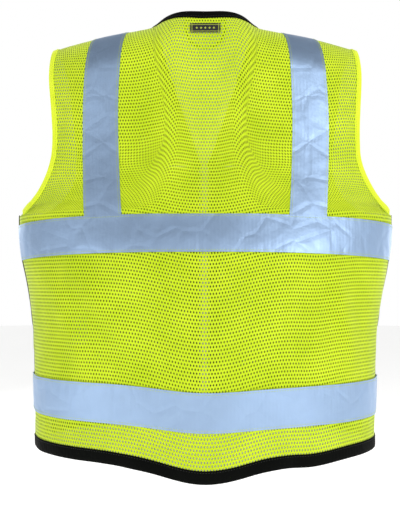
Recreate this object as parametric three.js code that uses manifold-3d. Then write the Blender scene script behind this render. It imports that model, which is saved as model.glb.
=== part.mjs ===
// High visibility work vest, unzipped and hanging as it is worn, in millimetres.
// +Z is up, the wearer faces -Y and the wearer's left is +X.
// The origin is between the shoulders, at the height of the shoulder ridge beside the neck.
import * as THREE from "three";
import { mergeVertices } from "three/addons/utils/BufferGeometryUtils.js";
import Module from "manifold-3d";

// ---- Body shape that the vest hangs to ----
const BACK_LENGTH = 640; // neck ridge to the lowest point of the hem
const HEM_RISE_AT_SIDE = 22; // the hem is this much higher than in the middle
const HEM_DIP_HALF_WIDTH = 75; // how far from the middle the hem dips
const CHEST_HALF_WIDTH = 277; // at the armpits
const WAIST_HALF_WIDTH = 252;
const HEM_HALF_WIDTH = 247;
const BLADE_HALF_WIDTH = 262;
const SHOULDER_HALF_WIDTH = 250;
const BACK_DEPTH = 148; // middle plane to the back, waist and hem
const CHEST_BACK_DEPTH = 126;
const BLADE_BACK_DEPTH = 100;
const NECK_BACK_DEPTH = 78;
const FRONT_DEPTH_AT_TOP = 96;
const FRONT_DEPTH_AT_HEM = 150;
const SECTION_SQUARENESS = 0.12; // how much fuller than an ellipse a section is
const SHOULDER_ROUND = 70; // radius of the roll over the shoulder
const SHOULDER_DROP = 0.13; // slope of the shoulder ridge beside the neck
const SHOULDER_CURVE = 0.0004; // how fast that slope grows outwards, per mm
const NECK_HALF_WIDTH = 72;
const NECK_RISE = 46; // how far the ridge line would climb to the middle of the neck
const NECK_BLEND = 9;
const NECK_EDGE_DEPTH = 72; // middle plane to the back of the neck edge
const BLADE_DROP = 190;

// ---- Cut of the cloth ----
const ARMPIT_DROP = 283;
const ARMHOLE_HALF_WIDTH = 229; // back edge of the armhole
const ARMHOLE_CURVE_DROP = 200; // where the armhole starts to curve out to the side
const ARMHOLE_ROUNDNESS = 1.7;
const FRONT_ARMHOLE_CUT = 12; // the front edge is cut this much nearer the middle
const ARMHOLE_TAPER = 10; // the armhole edge comes in this much below the shoulder
const ARMHOLE_TAPER_START = 60; // drop where it starts to come in
const VEE_DROP = 190; // depth of the V neck, where the zip starts
const VEE_BOTTOM_HALF_GAP = 5; // V neck edge to the middle at the zip's top
const CLOTH = 1; // thickness of the netting
const LAYER_GAP = 1; // clear space between cloth layers
const TAPE = 0.8; // thickness of the reflective tape
const SEAM_GAP = 0.5; // cloth edge to the seam line
const NECK_SHARE = 0.42; // share of the back's columns that end at the neck

const NECK_BINDING_WIDTH = 13;
const ARMHOLE_BINDING_WIDTH = 9;
const HEM_BINDING_HEIGHT = 16;
const SIDE_BINDING_WIDTH = 16;
const BINDING_FACE = 1.9; // outer face of a folded binding above the cloth's inner face
const BINDING_BACK = -0.7; // inner face of a folded binding
const BINDING_GAP = 2.3; // binding to the cloth that it edges
const ARMHOLE_GAP = 4.3; // the same round the armhole, which curves more sharply
const SIDE_BINDING_THICKNESS = 1.2;

const TAPE_WIDTH = 50.8;
const CHEST_TAPE_BELOW_ARMPIT = 12;
const CHEST_TAPE_SAG = 7; // how far the chest tape drops towards the side seams
const WAIST_TAPE_ABOVE_HEM = 63; // lowest point of the hem to the waist tape
const WAIST_TAPE_RISE_SHARE = 0.45; // how much of the hem's rise the tape takes
const WAIST_TAPE_RAMP = 8; // how far before the side binding the tape starts to rise over it
const WAIST_TAPE_STEP = 2; // and how far before it the tape is at its full height
const SHOULDER_TAPE_CENTRE = 140; // middle plane to the centre of the vertical tape

// ---- Zip ----
const TEETH_HALF_GAP = 4.75; // middle plane to the tips of the teeth, unzipped
const TOOTH_LENGTH = 4;
const TOOTH_HEIGHT = 2.4;
const TOOTH_THICKNESS = 3;
const TOOTH_PITCH = 10.8; // every third tooth of the real chain
const BEAD_WIDTH = 2;
const ZIP_TAPE_WIDTH = 13;
const ZIP_TAPE_THICKNESS = 0.6;
const ZIP_TAPE_ABOVE_HEM = 5;
const STOP_HEIGHT = 4;
const SLIDER_LENGTH = 14;
const SLIDER_WIDTH = 11;
const SLIDER_PLATE = 1.6;
const SLIDER_CLEARANCE = 0.6;
const BRIDGE_HEIGHT = 3.6; // slider face to the top of the bridge that holds the pull tab
const BRIDGE_WIDTH = 3;
const BRIDGE_THICKNESS = 1.2;
const BRIDGE_INSET = 2; // bridge end to the end of the slider
const LUG_LENGTH = 2.2;
const PULL_LENGTH = 30;
const PULL_EYE = 8.4; // length of the open eye, which passes round the whole bridge
const PULL_WIDTH = 8;
const PULL_ARM = 1.6;
const PULL_THICKNESS = 1.2;
const PULL_DROP = 4.6; // top of the slider to the top of the eye
const RETAINER_HEIGHT = 10;
const RETAINER_WIDTH = 10;
const RETAINER_THICKNESS = 5.2;
const PIN_LENGTH = 16;
const PIN_WIDTH = 4;
const ZIP_PART_GAP = 0.4; // end to end, between parts on the same chain

// ---- Pockets and small parts ----
const POCKET_WALL = 1.6;
const POCKET_REACH = 25; // how far a gusset is drawn back before the cloth trims it
const GUSSET_GAP = 0.4; // gusset to the back of the face
const CHEST_POCKET_WIDTH = 76;
const CHEST_POCKET_HEIGHT = 84;
const CHEST_POCKET_DEPTH = 16;
const CHEST_POCKET_CENTRE = 66; // middle plane to the middle of the pocket
const CHEST_POCKET_BELOW_VEE = 14;
const CARGO_POCKET_WIDTH = 112;
const CARGO_POCKET_HEIGHT = 128;
const CARGO_POCKET_DEPTH = 28;
const CARGO_POCKET_ANGLE = 54; // degrees round the section from the front
const CARGO_POCKET_BELOW_TAPE = 26;
const FLAP_MARGIN = 3; // flap edge past the pocket's side
const FLAP_THICKNESS = 1.6;
const FLAP_SEAM_HEIGHT = 6; // flap hinge line above the pocket's mouth
const FLAP_SEAM_OFFSET = 7; // flap hinge line in front of the cloth
const CHEST_FLAP_LENGTH = 36;
const CARGO_FLAP_LENGTH = 52;
const PAD_THICKNESS = 0.9;
const PAD_GAP = 0.3; // pad to the cloth that it is sewn on
const CLOSURE_GAP = 0.5; // between the two pads
const PAD_HEIGHT = 18;
const PAD_WIDTH_SHARE = 0.5;
const PEN_CHANNELS = 3;
const MIC_TAB_WIDTH = 22;
const MIC_TAB_LENGTH = 52;
const MIC_TAB_GAP = 9;
const MIC_TAB_WEBBING = 2;
const MIC_TAB_FOOT = 9; // length sewn down at each end
const MIC_TAB_CENTRE = 84;
const MIC_TAB_DROP = 122;
const LABEL_WIDTH = 42;
const LABEL_HEIGHT = 13;
const LABEL_DROP = 21;
const CARE_LABEL_WIDTH = 30;
const CARE_LABEL_HEIGHT = 44;
const CARE_LABEL_THICKNESS = 0.6;
const CARE_LABEL_INWARD = 6; // how far inside the front it hangs
const LOOP_WIDTH = 60;
const LOOP_DROP = 42;
const LOOP_CORD = 4;
const LOOP_BELOW_EDGE = 9;
const LOOP_CLEARANCE = 2.5; // loop to the cloth behind it

// ---- Mesh fineness ----
const HALF_COLUMNS = 12; // columns from the middle of the back to a side seam
const LOWER_ROWS = 15;
const UPPER_ROWS = 11;
const STRIP_STEP = 24; // length of one step along a binding
const TAPE_STEP = 12; // length of one step of the tape over the shoulder
const CORE_DEPTH = 50; // thickness of the shape that trims the pockets

const HALF_PI = Math.PI / 2;
const HEM = -BACK_LENGTH;
const ARMPIT = -ARMPIT_DROP;
const CHEST_TAPE_TOP = ARMPIT - CHEST_TAPE_BELOW_ARMPIT;
const CHEST_TAPE_BOTTOM = CHEST_TAPE_TOP - TAPE_WIDTH;
const WAIST_TAPE_BOTTOM = HEM + WAIST_TAPE_ABOVE_HEM;
const WAIST_TAPE_TOP = WAIST_TAPE_BOTTOM + TAPE_WIDTH;
const SKIRT_LENGTH = BACK_LENGTH - ARMPIT_DROP;
const WAIST = ARMPIT - SKIRT_LENGTH / 2;
const TAPE_BASE = CLOTH + LAYER_GAP;
const TAPE_FACE = TAPE_BASE + TAPE;

const LIME = 0xcbe153;
const LIME_BINDING = 0xe2f04a;
const SILVER = 0xabc4e2;
const BLACK = 0x101210;
const PALE = 0xd9dcd6;

const wasm = await Module();
wasm.setup();

// A smooth curve through (place, value) stations that never overshoots them.
function through(stations) {
  const last = stations.length - 1;
  const rise = (i) => (stations[i + 1][1] - stations[i][1]) / (stations[i + 1][0] - stations[i][0]);
  const slope = stations.map((_, i) => {
    if (i === 0 || i === last) return i === 0 ? rise(0) : rise(last - 1);
    const before = rise(i - 1);
    const after = rise(i);
    return before * after <= 0 ? 0 : (2 * before * after) / (before + after);
  });
  return (place) => {
    const at = THREE.MathUtils.clamp(place, stations[0][0], stations[last][0]);
    let i = 0;
    while (i < last - 1 && at > stations[i + 1][0]) i += 1;
    const span = stations[i + 1][0] - stations[i][0];
    const t = (at - stations[i][0]) / span;
    const [low, high] = [stations[i][1], stations[i + 1][1]];
    return (
      low * (1 + 2 * t) * (1 - t) ** 2 +
      high * (3 - 2 * t) * t ** 2 +
      span * t * (1 - t) * (slope[i] * (1 - t) - slope[i + 1] * t)
    );
  };
}

const halfWidth = through([
  [HEM, HEM_HALF_WIDTH],
  [WAIST, WAIST_HALF_WIDTH],
  [ARMPIT - ARMHOLE_BINDING_WIDTH, CHEST_HALF_WIDTH],
  [-BLADE_DROP, BLADE_HALF_WIDTH],
  [0, SHOULDER_HALF_WIDTH],
]);
const backDepth = through([
  [HEM, BACK_DEPTH],
  [WAIST, BACK_DEPTH],
  [CHEST_TAPE_BOTTOM, (BACK_DEPTH + CHEST_BACK_DEPTH) / 2 + 3],
  [CHEST_TAPE_TOP, CHEST_BACK_DEPTH],
  [-BLADE_DROP, BLADE_BACK_DEPTH],
  [0, NECK_BACK_DEPTH],
]);
const frontDepth = through([
  [HEM, FRONT_DEPTH_AT_HEM],
  [0, FRONT_DEPTH_AT_TOP],
]);
const depthOn = (side, z) => (side > 0 ? backDepth(z) : frontDepth(z));

// Height of the shoulder ridge, which climbs towards the neck.
function ridge(x) {
  const neck = NECK_RISE * (1 - (x / NECK_HALF_WIDTH) ** 2);
  const out = Math.abs(x) - NECK_HALF_WIDTH;
  const shoulder = -SHOULDER_DROP * out - SHOULDER_CURVE * out ** 2;
  return (neck + shoulder + Math.hypot(neck - shoulder, NECK_BLEND)) / 2 - NECK_BLEND / 3;
}

// Zero on the body, positive outside it.
function outside(p) {
  const f = p.x / halfWidth(p.z);
  const full = (1 - f * f) * (1 + SECTION_SQUARENESS * f * f) ** 2;
  const roll = Math.max(0, 1 - (ridge(p.x) - p.z) / SHOULDER_ROUND);
  return (p.y / depthOn(p.y, p.z)) ** 2 - full * (1 - roll * roll);
}

function gradient(p) {
  const step = 0.5;
  const g = new THREE.Vector3();
  for (const axis of ["x", "y", "z"]) {
    const high = p.clone();
    const low = p.clone();
    high[axis] += step;
    low[axis] -= step;
    g[axis] = (outside(high) - outside(low)) / (2 * step);
  }
  return g;
}

const normalAt = (p) => gradient(p).normalize();
const raised = (p, height) => p.clone().addScaledVector(normalAt(p), height);

// The nearest point of the body.
function settle(start) {
  const p = start.clone();
  for (let i = 0; i < 8; i += 1) {
    const g = gradient(p);
    p.addScaledVector(g, -outside(p) / Math.max(g.lengthSq(), 1e-9));
  }
  return p;
}

// A body point by its angle round the section, 0 in the middle, and its height.
function round(side, angle, z) {
  const f = Math.sin(angle);
  const x = halfWidth(z) * f;
  const roll = Math.max(0, 1 - (ridge(x) - z) / SHOULDER_ROUND);
  const full = Math.cos(angle) * (1 + SECTION_SQUARENESS * f * f);
  const y = side * depthOn(side, z) * full * Math.sqrt(Math.max(0, 1 - roll * roll));
  return new THREE.Vector3(x, y, z);
}
const across = (side, x, z) => round(side, Math.asin(THREE.MathUtils.clamp(x / halfWidth(z), -1, 1)), z);

// A body point by its distance across and its way down from the ridge, along the cloth.
function down(side, x, way) {
  const turn = Math.min(way / SHOULDER_ROUND, HALF_PI);
  const straight = Math.max(0, way - SHOULDER_ROUND * HALF_PI);
  const z = ridge(x) - SHOULDER_ROUND * (1 - Math.cos(turn)) - straight;
  const f = x / halfWidth(z);
  const full = Math.sqrt(Math.max(0, 1 - f * f)) * (1 + SECTION_SQUARENESS * f * f);
  return new THREE.Vector3(x, side * depthOn(side, z) * full * Math.sin(turn), z);
}
function wayDown(p) {
  const t = (ridge(p.x) - p.z) / SHOULDER_ROUND;
  if (t >= 1) return SHOULDER_ROUND * (HALF_PI + t - 1);
  return SHOULDER_ROUND * Math.acos(THREE.MathUtils.clamp(1 - t, -1, 1));
}
// The same, with points in front counted as negative ways.
const overShoulder = (x, way) => down(way < 0 ? -1 : 1, x, Math.abs(way));

const seamAngle = (side, z) => HALF_PI - SEAM_GAP / depthOn(side, z);
function bindingAngle(z) {
  return HALF_PI - (SIDE_BINDING_WIDTH + SEAM_GAP) / (backDepth(z) * (1 + SECTION_SQUARENESS));
}

// Inset of the cloth inside the armhole's binding, and of the cloth inside the neck's.
const ARMHOLE_INSET = ARMHOLE_BINDING_WIDTH + ARMHOLE_GAP;
const NECK_INSET = NECK_BINDING_WIDTH + BINDING_GAP;

// Edge of an armhole at a height, or of the cloth inside its binding.
function armholeX(side, z, inset) {
  const taper = ARMHOLE_TAPER * THREE.MathUtils.smoothstep(-z, ARMHOLE_TAPER_START, VEE_DROP);
  const inner = ARMHOLE_HALF_WIDTH - (side < 0 ? FRONT_ARMHOLE_CUT : 0) - taper - inset;
  const bottom = ARMPIT - inset;
  const t = THREE.MathUtils.clamp((-ARMHOLE_CURVE_DROP - z) / (-ARMHOLE_CURVE_DROP - bottom), 0, 1);
  const bow = 1 - (1 - t ** ARMHOLE_ROUNDNESS) ** (1 / ARMHOLE_ROUNDNESS);
  return inner + (halfWidth(bottom) * Math.sin(seamAngle(side, bottom)) - inner) * bow;
}

// Edge of the V neck at a height below the ridge.
function veeX(z, inset) {
  const t = THREE.MathUtils.clamp(-z / VEE_DROP, 0, 1);
  const slant = Math.hypot(1, (NECK_HALF_WIDTH - VEE_BOTTOM_HALF_GAP) / VEE_DROP);
  return THREE.MathUtils.lerp(NECK_HALF_WIDTH, VEE_BOTTOM_HALF_GAP, t) + inset * slant;
}

function signedVolume(geometry) {
  const at = geometry.getAttribute("position");
  const corner = [0, 1, 2].map(() => new THREE.Vector3());
  let sum = 0;
  for (let i = 0; i < geometry.index.count; i += 3) {
    corner.forEach((c, k) => c.fromBufferAttribute(at, geometry.index.getX(i + k)));
    sum += corner[0].dot(corner[1].clone().cross(corner[2]));
  }
  return sum / 6;
}

// A closed sheet with thickness, between two grids of points of the same size.
function slab(face, back) {
  const rows = face.length;
  const columns = face[0].length;
  const points = [...face.flat(), ...back.flat()];
  const index = [];
  const top = (r, c) => r * columns + c;
  const under = (r, c) => rows * columns + top(r, c);
  const quad = (a, b, c, d) => index.push(a, b, c, a, c, d);
  for (let r = 0; r < rows - 1; r += 1) {
    for (let c = 0; c < columns - 1; c += 1) {
      quad(top(r, c), top(r, c + 1), top(r + 1, c + 1), top(r + 1, c));
      quad(under(r, c), under(r + 1, c), under(r + 1, c + 1), under(r, c + 1));
    }
    quad(top(r, 0), top(r + 1, 0), under(r + 1, 0), under(r, 0));
    quad(top(r + 1, columns - 1), top(r, columns - 1), under(r, columns - 1), under(r + 1, columns - 1));
  }
  for (let c = 0; c < columns - 1; c += 1) {
    quad(top(0, c + 1), top(0, c), under(0, c), under(0, c + 1));
    quad(top(rows - 1, c), top(rows - 1, c + 1), under(rows - 1, c + 1), under(rows - 1, c));
  }
  const geometry = new THREE.BufferGeometry().setFromPoints(points);
  geometry.setIndex(index);
  if (signedVolume(geometry) < 0) geometry.setIndex(index.reverse());
  return geometry;
}

// A cloth layer over a grid of body points. A height may depend on the row and column.
function layer(grid, low, high) {
  const lift = (height) =>
    grid.map((row, r) =>
      row.map((p, c) => raised(p, typeof height === "function" ? height(r, c) : height)),
    );
  return slab(lift(high), lift(low));
}

const steps = (count) => Array.from({ length: count + 1 }, (_, i) => i / count);
const sides = (half) => Array.from({ length: 2 * half + 1 }, (_, i) => (i - half) / half);
const mirrored = (grid) => grid.map((row) => row.map((p) => new THREE.Vector3(-p.x, p.y, p.z)));
const handed = (hand, grid) => (hand > 0 ? grid : mirrored(grid));

// A strip along a path on the body, reaching inwards by its width.
function strip(path, width, inwards, low, high) {
  const grid = path.map((p, i) => {
    const ahead = path[Math.min(i + 1, path.length - 1)];
    const behind = path[Math.max(i - 1, 0)];
    const along = ahead.clone().sub(behind).normalize();
    const aside = normalAt(p).cross(along).normalize().multiplyScalar(inwards);
    return [0, 0.5, 1].map((share) => settle(p.clone().addScaledVector(aside, share * width)));
  });
  return layer(grid, low, high);
}

// Points a fixed step apart along a dense path.
function evenly(path, step) {
  const curve = new THREE.CatmullRomCurve3(path);
  return curve.getSpacedPoints(Math.max(2, Math.round(curve.getLength() / step)));
}

// ---- Netting panels ----

// One half of the neck edge at the back, from the middle to the shoulder.
function backNeckPoint(share) {
  const turn = share * HALF_PI;
  const x = NECK_HALF_WIDTH * Math.sin(turn);
  const y = NECK_EDGE_DEPTH * Math.cos(turn);
  let p = down(1, x, 0);
  for (let i = 0; i < 12; i += 1) {
    const full = depthOn(1, p.z) * Math.sqrt(1 - (x / halfWidth(p.z)) ** 2);
    p = down(1, x, SHOULDER_ROUND * Math.asin(Math.min(0.995, y / full)));
  }
  return p;
}

// The neck edge moved down into the cloth by the binding's width.
function underNeckBinding(share) {
  const p = backNeckPoint(share);
  const ahead = backNeckPoint(Math.min(1, share + 0.02));
  const behind = backNeckPoint(Math.max(0, share - 0.02));
  const aside = ahead.sub(behind).normalize().cross(normalAt(p)).normalize();
  if (aside.z > 0) aside.negate();
  return settle(p.addScaledVector(aside, NECK_INSET));
}

// Half of the upper back: each column runs from the armpit line to the neck or the ridge.
function upperBackPoint(share, height) {
  const start = ARMPIT - ARMHOLE_INSET;
  const low = round(1, share * seamAngle(1, start), start);
  const edgeTop = armholeX(1, 0, ARMHOLE_INSET);
  const shoulderEnd = underNeckBinding(1);
  const high =
    share <= NECK_SHARE
      ? underNeckBinding(share / NECK_SHARE)
      : new THREE.Vector3(
          THREE.MathUtils.lerp(shoulderEnd.x, edgeTop, (share - NECK_SHARE) / (1 - NECK_SHARE)),
        );
  const highWay = share <= NECK_SHARE ? Math.max(wayDown(high), SEAM_GAP) : SEAM_GAP;
  const way = THREE.MathUtils.lerp(wayDown(low), highWay, height);
  const lowEdge = halfWidth(start) * Math.sin(seamAngle(1, start));
  let pull = height;
  for (let i = 0; i < 8; i += 1) {
    const edge = THREE.MathUtils.lerp(lowEdge, edgeTop, pull);
    const edgeWay = THREE.MathUtils.lerp(wayDown(round(1, HALF_PI, start)), SEAM_GAP, height);
    const z = down(1, edge, edgeWay).z;
    pull = (lowEdge - armholeX(1, z, ARMHOLE_INSET)) / (lowEdge - edgeTop);
  }
  return down(1, THREE.MathUtils.lerp(low.x, high.x, pull), way);
}

// How much higher the hem is than in the middle, at an angle round the section.
function hemRise(angle) {
  const x = HEM_HALF_WIDTH * Math.sin(angle);
  return HEM_RISE_AT_SIDE * (1 - Math.exp(-((x / HEM_DIP_HALF_WIDTH) ** 2)));
}
const hemAt = (angle) => HEM + hemRise(angle);
const waistTapeRise = (angle) => WAIST_TAPE_RISE_SHARE * hemRise(angle);
const chestTapeSag = (angle) => CHEST_TAPE_SAG * Math.abs(Math.sin(angle)) ** 3;

function backPanel() {
  const columns = sides(HALF_COLUMNS);
  const top = ARMPIT - ARMHOLE_INSET;
  const lower = steps(LOWER_ROWS)
    .slice(0, -1)
    .map((t) =>
      columns.map((c) => {
        const bottom = hemAt(c * HALF_PI) + HEM_BINDING_HEIGHT + BINDING_GAP;
        const z = THREE.MathUtils.lerp(bottom, top, t);
        return round(1, c * seamAngle(1, z), z);
      }),
    );
  const upper = steps(UPPER_ROWS).map((t) =>
    columns.map((c) => {
      const p = upperBackPoint(Math.abs(c), t);
      return new THREE.Vector3(Math.sign(c) * p.x, p.y, p.z);
    }),
  );
  return layer([...lower, ...upper], 0, CLOTH);
}

// Front piece between heights, from its inner edge to the armhole or the side seam.
function frontPoint(share, z, inner) {
  const seam = seamAngle(-1, z);
  const open = z > ARMPIT - ARMHOLE_INSET;
  const outer = open ? armholeX(-1, z, ARMHOLE_INSET) : halfWidth(z) * Math.sin(seam);
  const from = Math.asin(inner / halfWidth(z));
  const to = Math.asin(Math.min(1, outer / halfWidth(z)));
  return round(-1, THREE.MathUtils.lerp(from, to, share), z);
}

function shoulderPanel(hand) {
  const grid = steps(14).map((t) =>
    steps(7).map((s) => {
      const top = armholeX(1, 0, ARMHOLE_INSET);
      let p = down(-1, veeX(0, NECK_INSET), 0);
      for (let i = 0; i < 8; i += 1) {
        const end = wayDown(across(-1, p.x, -VEE_DROP + SEAM_GAP));
        const way = THREE.MathUtils.lerp(SEAM_GAP, end, t);
        const outer = THREE.MathUtils.lerp(top, armholeX(-1, p.z, ARMHOLE_INSET), Math.min(1, 3 * t));
        p = down(-1, THREE.MathUtils.lerp(veeX(p.z, NECK_INSET), outer, s), way);
      }
      return p;
    }),
  );
  return layer(handed(hand, grid), 0, CLOTH);
}

const FRONT_INNER = TEETH_HALF_GAP + TOOTH_LENGTH + BEAD_WIDTH + 1;
const FRONT_HEM_START = Math.asin(FRONT_INNER / halfWidth(HEM));
const FRONT_COLUMNS = 10;

function frontPanel(hand) {
  const split = -VEE_DROP - SEAM_GAP;
  const armpit = ARMPIT - ARMHOLE_INSET;
  const heights = [...steps(8).map((t) => [0, t]), ...steps(8).slice(1).map((t) => [1, t])];
  const grid = heights.map(([zone, t]) =>
    steps(FRONT_COLUMNS).map((s) => {
      const angle = THREE.MathUtils.lerp(FRONT_HEM_START, HALF_PI, s);
      const bottom = hemAt(angle) + HEM_BINDING_HEIGHT + BINDING_GAP;
      const z = zone ? THREE.MathUtils.lerp(armpit, split, t) : THREE.MathUtils.lerp(bottom, armpit, t);
      return frontPoint(s, z, FRONT_INNER);
    }),
  );
  return layer(handed(hand, grid), 0, CLOTH);
}

// ---- Bindings ----

function hemBinding(side, from, to, columns) {
  const grid = [0, 1].map((t) =>
    columns.map((c) => {
      const angle = THREE.MathUtils.lerp(from, to, c);
      const z = hemAt(angle) + t * HEM_BINDING_HEIGHT;
      const limit = seamAngle(side, z);
      return round(side, THREE.MathUtils.clamp(angle, -limit, limit), z);
    }),
  );
  return layer(grid, BINDING_BACK, BINDING_FACE);
}

function frontHemBinding(hand) {
  return hemBinding(-1, hand * FRONT_HEM_START, hand * HALF_PI, steps(FRONT_COLUMNS));
}

// The neck edge: up the left V, round the back of the neck and down the right V.
function neckBinding() {
  const corner = NECK_BINDING_WIDTH * ((NECK_HALF_WIDTH - VEE_BOTTOM_HALF_GAP) / VEE_DROP);
  const bottom = wayDown(across(-1, veeX(-VEE_DROP, 0), -VEE_DROP + corner + SEAM_GAP));
  const vee = steps(16).map((t) => {
    let p = down(-1, NECK_HALF_WIDTH, 0);
    for (let i = 0; i < 8; i += 1) p = down(-1, veeX(Math.min(0, p.z), 0), bottom * t);
    return p;
  });
  const back = steps(16).map(backNeckPoint);
  const left = [...vee.reverse(), ...back.reverse().slice(1)];
  const right = mirrored([left])[0].reverse().slice(1);
  const path = evenly([...left, ...right], STRIP_STEP * 0.8);
  return strip(path, NECK_BINDING_WIDTH, -1, BINDING_BACK, BINDING_FACE);
}

// The armhole edge from the side seam at the back, over the shoulder, to the front split.
function armholePath() {
  const back = steps(40).map((t) => {
    const way = THREE.MathUtils.lerp(wayDown(round(1, HALF_PI, ARMPIT)), 0, Math.sin(t * HALF_PI));
    let p = down(1, ARMHOLE_HALF_WIDTH, way);
    for (let i = 0; i < 12; i += 1) p = down(1, armholeX(1, p.z, 0), way);
    return p;
  });
  const end = wayDown(across(-1, armholeX(-1, -VEE_DROP, 0), -VEE_DROP + SEAM_GAP));
  const front = steps(16)
    .slice(1)
    .map((t) => {
      let p = down(-1, ARMHOLE_HALF_WIDTH, end * t);
      for (let i = 0; i < 8; i += 1) {
        const cut = armholeX(-1, p.z, 0);
        p = down(-1, THREE.MathUtils.lerp(ARMHOLE_HALF_WIDTH, cut, Math.min(1, 3 * t)), end * t);
      }
      return p;
    });
  return [...back, ...front];
}

function armholeBinding(hand) {
  const path = evenly(handed(hand, [armholePath()])[0], STRIP_STEP);
  return strip(path, ARMHOLE_BINDING_WIDTH, -hand, BINDING_BACK, BINDING_FACE);
}

function frontArmholeBinding(hand) {
  const top = -VEE_DROP - SEAM_GAP;
  const path = steps(24).map((t) => {
    const z = THREE.MathUtils.lerp(top, ARMPIT, Math.sin(t * HALF_PI));
    const x = Math.min(armholeX(-1, z, 0), halfWidth(z) * Math.sin(seamAngle(-1, z)));
    return across(-1, x, z);
  });
  const even = evenly(handed(hand, [path])[0], STRIP_STEP * 0.6);
  return strip(even, ARMHOLE_BINDING_WIDTH, -hand, BINDING_BACK, BINDING_FACE);
}

const SIDE_BINDING_TOP = ARMPIT - ARMHOLE_INSET;
const SIDE_BINDING_BOTTOM = hemAt(HALF_PI) + HEM_BINDING_HEIGHT + BINDING_GAP;
const SIDE_BINDING_FACE = TAPE_BASE + SIDE_BINDING_THICKNESS;

function sideBinding(hand) {
  const grid = steps(14).map((t) => {
    const z = THREE.MathUtils.lerp(SIDE_BINDING_BOTTOM, SIDE_BINDING_TOP, t);
    return [0, 1].map((s) => {
      const angle = THREE.MathUtils.lerp(bindingAngle(z), seamAngle(1, z), s);
      return round(1, angle, z);
    });
  });
  return layer(handed(hand, grid), TAPE_BASE, SIDE_BINDING_FACE);
}

// ---- Reflective tapes ----

function chestTapeBack() {
  const grid = steps(4).map((t) => {
    const z = THREE.MathUtils.lerp(CHEST_TAPE_BOTTOM, CHEST_TAPE_TOP, t);
    const reach = bindingAngle(z) - BINDING_GAP / backDepth(z);
    return sides(HALF_COLUMNS).map((c) => round(1, c * reach, z - chestTapeSag(c * reach)));
  });
  return layer(grid, TAPE_BASE, TAPE_FACE);
}

// The waist tape runs over the side bindings, so it stands higher there.
function waistTapeBack() {
  const rows = steps(2).map((t) => THREE.MathUtils.lerp(WAIST_TAPE_BOTTOM, WAIST_TAPE_TOP, t));
  const grid = rows.map((z) => {
    const rise = bindingAngle(z) - WAIST_TAPE_RAMP / backDepth(z);
    const flat = sides(HALF_COLUMNS - 1).map((c) => c * rise);
    const over = bindingAngle(z) - WAIST_TAPE_STEP / backDepth(z);
    const end = seamAngle(1, z);
    return [-end, -over, ...flat, over, end].map((a) => round(1, a, z + waistTapeRise(a)));
  });
  const last = grid[0].length - 1;
  const lift = (c) => (c < 2 || c > last - 2 ? SIDE_BINDING_FACE + LAYER_GAP - TAPE_BASE : 0);
  return layer(grid, (r, c) => TAPE_BASE + lift(c), (r, c) => TAPE_FACE + lift(c));
}

function frontTape(hand, bottom, moved) {
  const grid = steps(2).map((t) => {
    const z = bottom + t * TAPE_WIDTH;
    return steps(FRONT_COLUMNS).map((s) => frontPoint(s, z + moved(s * HALF_PI), FRONT_INNER));
  });
  return layer(handed(hand, grid), TAPE_BASE, TAPE_FACE);
}

// The vertical tape of the back, over the shoulder and down to the front split.
function shoulderTape(hand) {
  const start = wayDown(across(1, SHOULDER_TAPE_CENTRE, CHEST_TAPE_TOP + SEAM_GAP * 2));
  const end = -wayDown(across(-1, SHOULDER_TAPE_CENTRE, -VEE_DROP + SEAM_GAP));
  const grid = steps(Math.round((start - end) / TAPE_STEP)).map((t) => {
    const way = THREE.MathUtils.lerp(start, end, t);
    return [-0.5, 0, 0.5].map((s) => {
      const x = SHOULDER_TAPE_CENTRE + s * TAPE_WIDTH;
      const p = overShoulder(x, way);
      if (t === 0) return across(1, x, CHEST_TAPE_TOP + SEAM_GAP * 2);
      if (t === 1) return across(-1, x, -VEE_DROP + SEAM_GAP);
      return p;
    });
  });
  return layer(handed(hand, grid), TAPE_BASE, TAPE_FACE);
}

function frontVerticalTape(hand) {
  const grid = steps(3).map((t) => {
    const z = THREE.MathUtils.lerp(CHEST_TAPE_TOP + SEAM_GAP * 2, -VEE_DROP - SEAM_GAP, t);
    return [-0.5, 0, 0.5].map((s) => across(-1, SHOULDER_TAPE_CENTRE + s * TAPE_WIDTH, z));
  });
  return layer(handed(hand, grid), TAPE_BASE, TAPE_FACE);
}

// ---- Solids by joining and cutting ----

function solid(geometry) {
  const bare = geometry.clone();
  for (const name of Object.keys(bare.attributes)) if (name !== "position") bare.deleteAttribute(name);
  const merged = mergeVertices(bare, 1e-4);
  return new wasm.Manifold(
    new wasm.Mesh({
      numProp: 3,
      vertProperties: new Float32Array(merged.getAttribute("position").array),
      triVerts: new Uint32Array(merged.index.array),
    }),
  );
}

function geometryOf(made) {
  const mesh = made.getMesh();
  const geometry = new THREE.BufferGeometry();
  geometry.setAttribute("position", new THREE.BufferAttribute(mesh.vertProperties, mesh.numProp));
  geometry.setIndex(new THREE.BufferAttribute(mesh.triVerts, 1));
  return geometry;
}

// A flat working frame on the cloth: u across, v up the cloth, n outwards.
function frameOn(point) {
  const n = normalAt(point);
  const u = new THREE.Vector3(0, 0, 1).cross(n).normalize();
  const v = n.clone().cross(u).normalize();
  return new THREE.Matrix4().makeBasis(u, v, n).setPosition(point);
}

// A box between two corners of such a frame.
function block(frame, low, high) {
  const size = high.map((h, i) => h - low[i]);
  const middle = high.map((h, i) => (h + low[i]) / 2);
  return new THREE.BoxGeometry(...size).translate(...middle).applyMatrix4(frame);
}

// The body's front with room for the cloth, cut out of what is sewn on it.
function frontCore() {
  const grid = steps(24).map((t) => {
    const z = THREE.MathUtils.lerp(HEM, -VEE_DROP + 10, t);
    return sides(14).map((c) => round(-1, c * HALF_PI, z));
  });
  return solid(layer(grid, -CORE_DEPTH, CLOTH + LAYER_GAP));
}
const core = frontCore();

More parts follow.
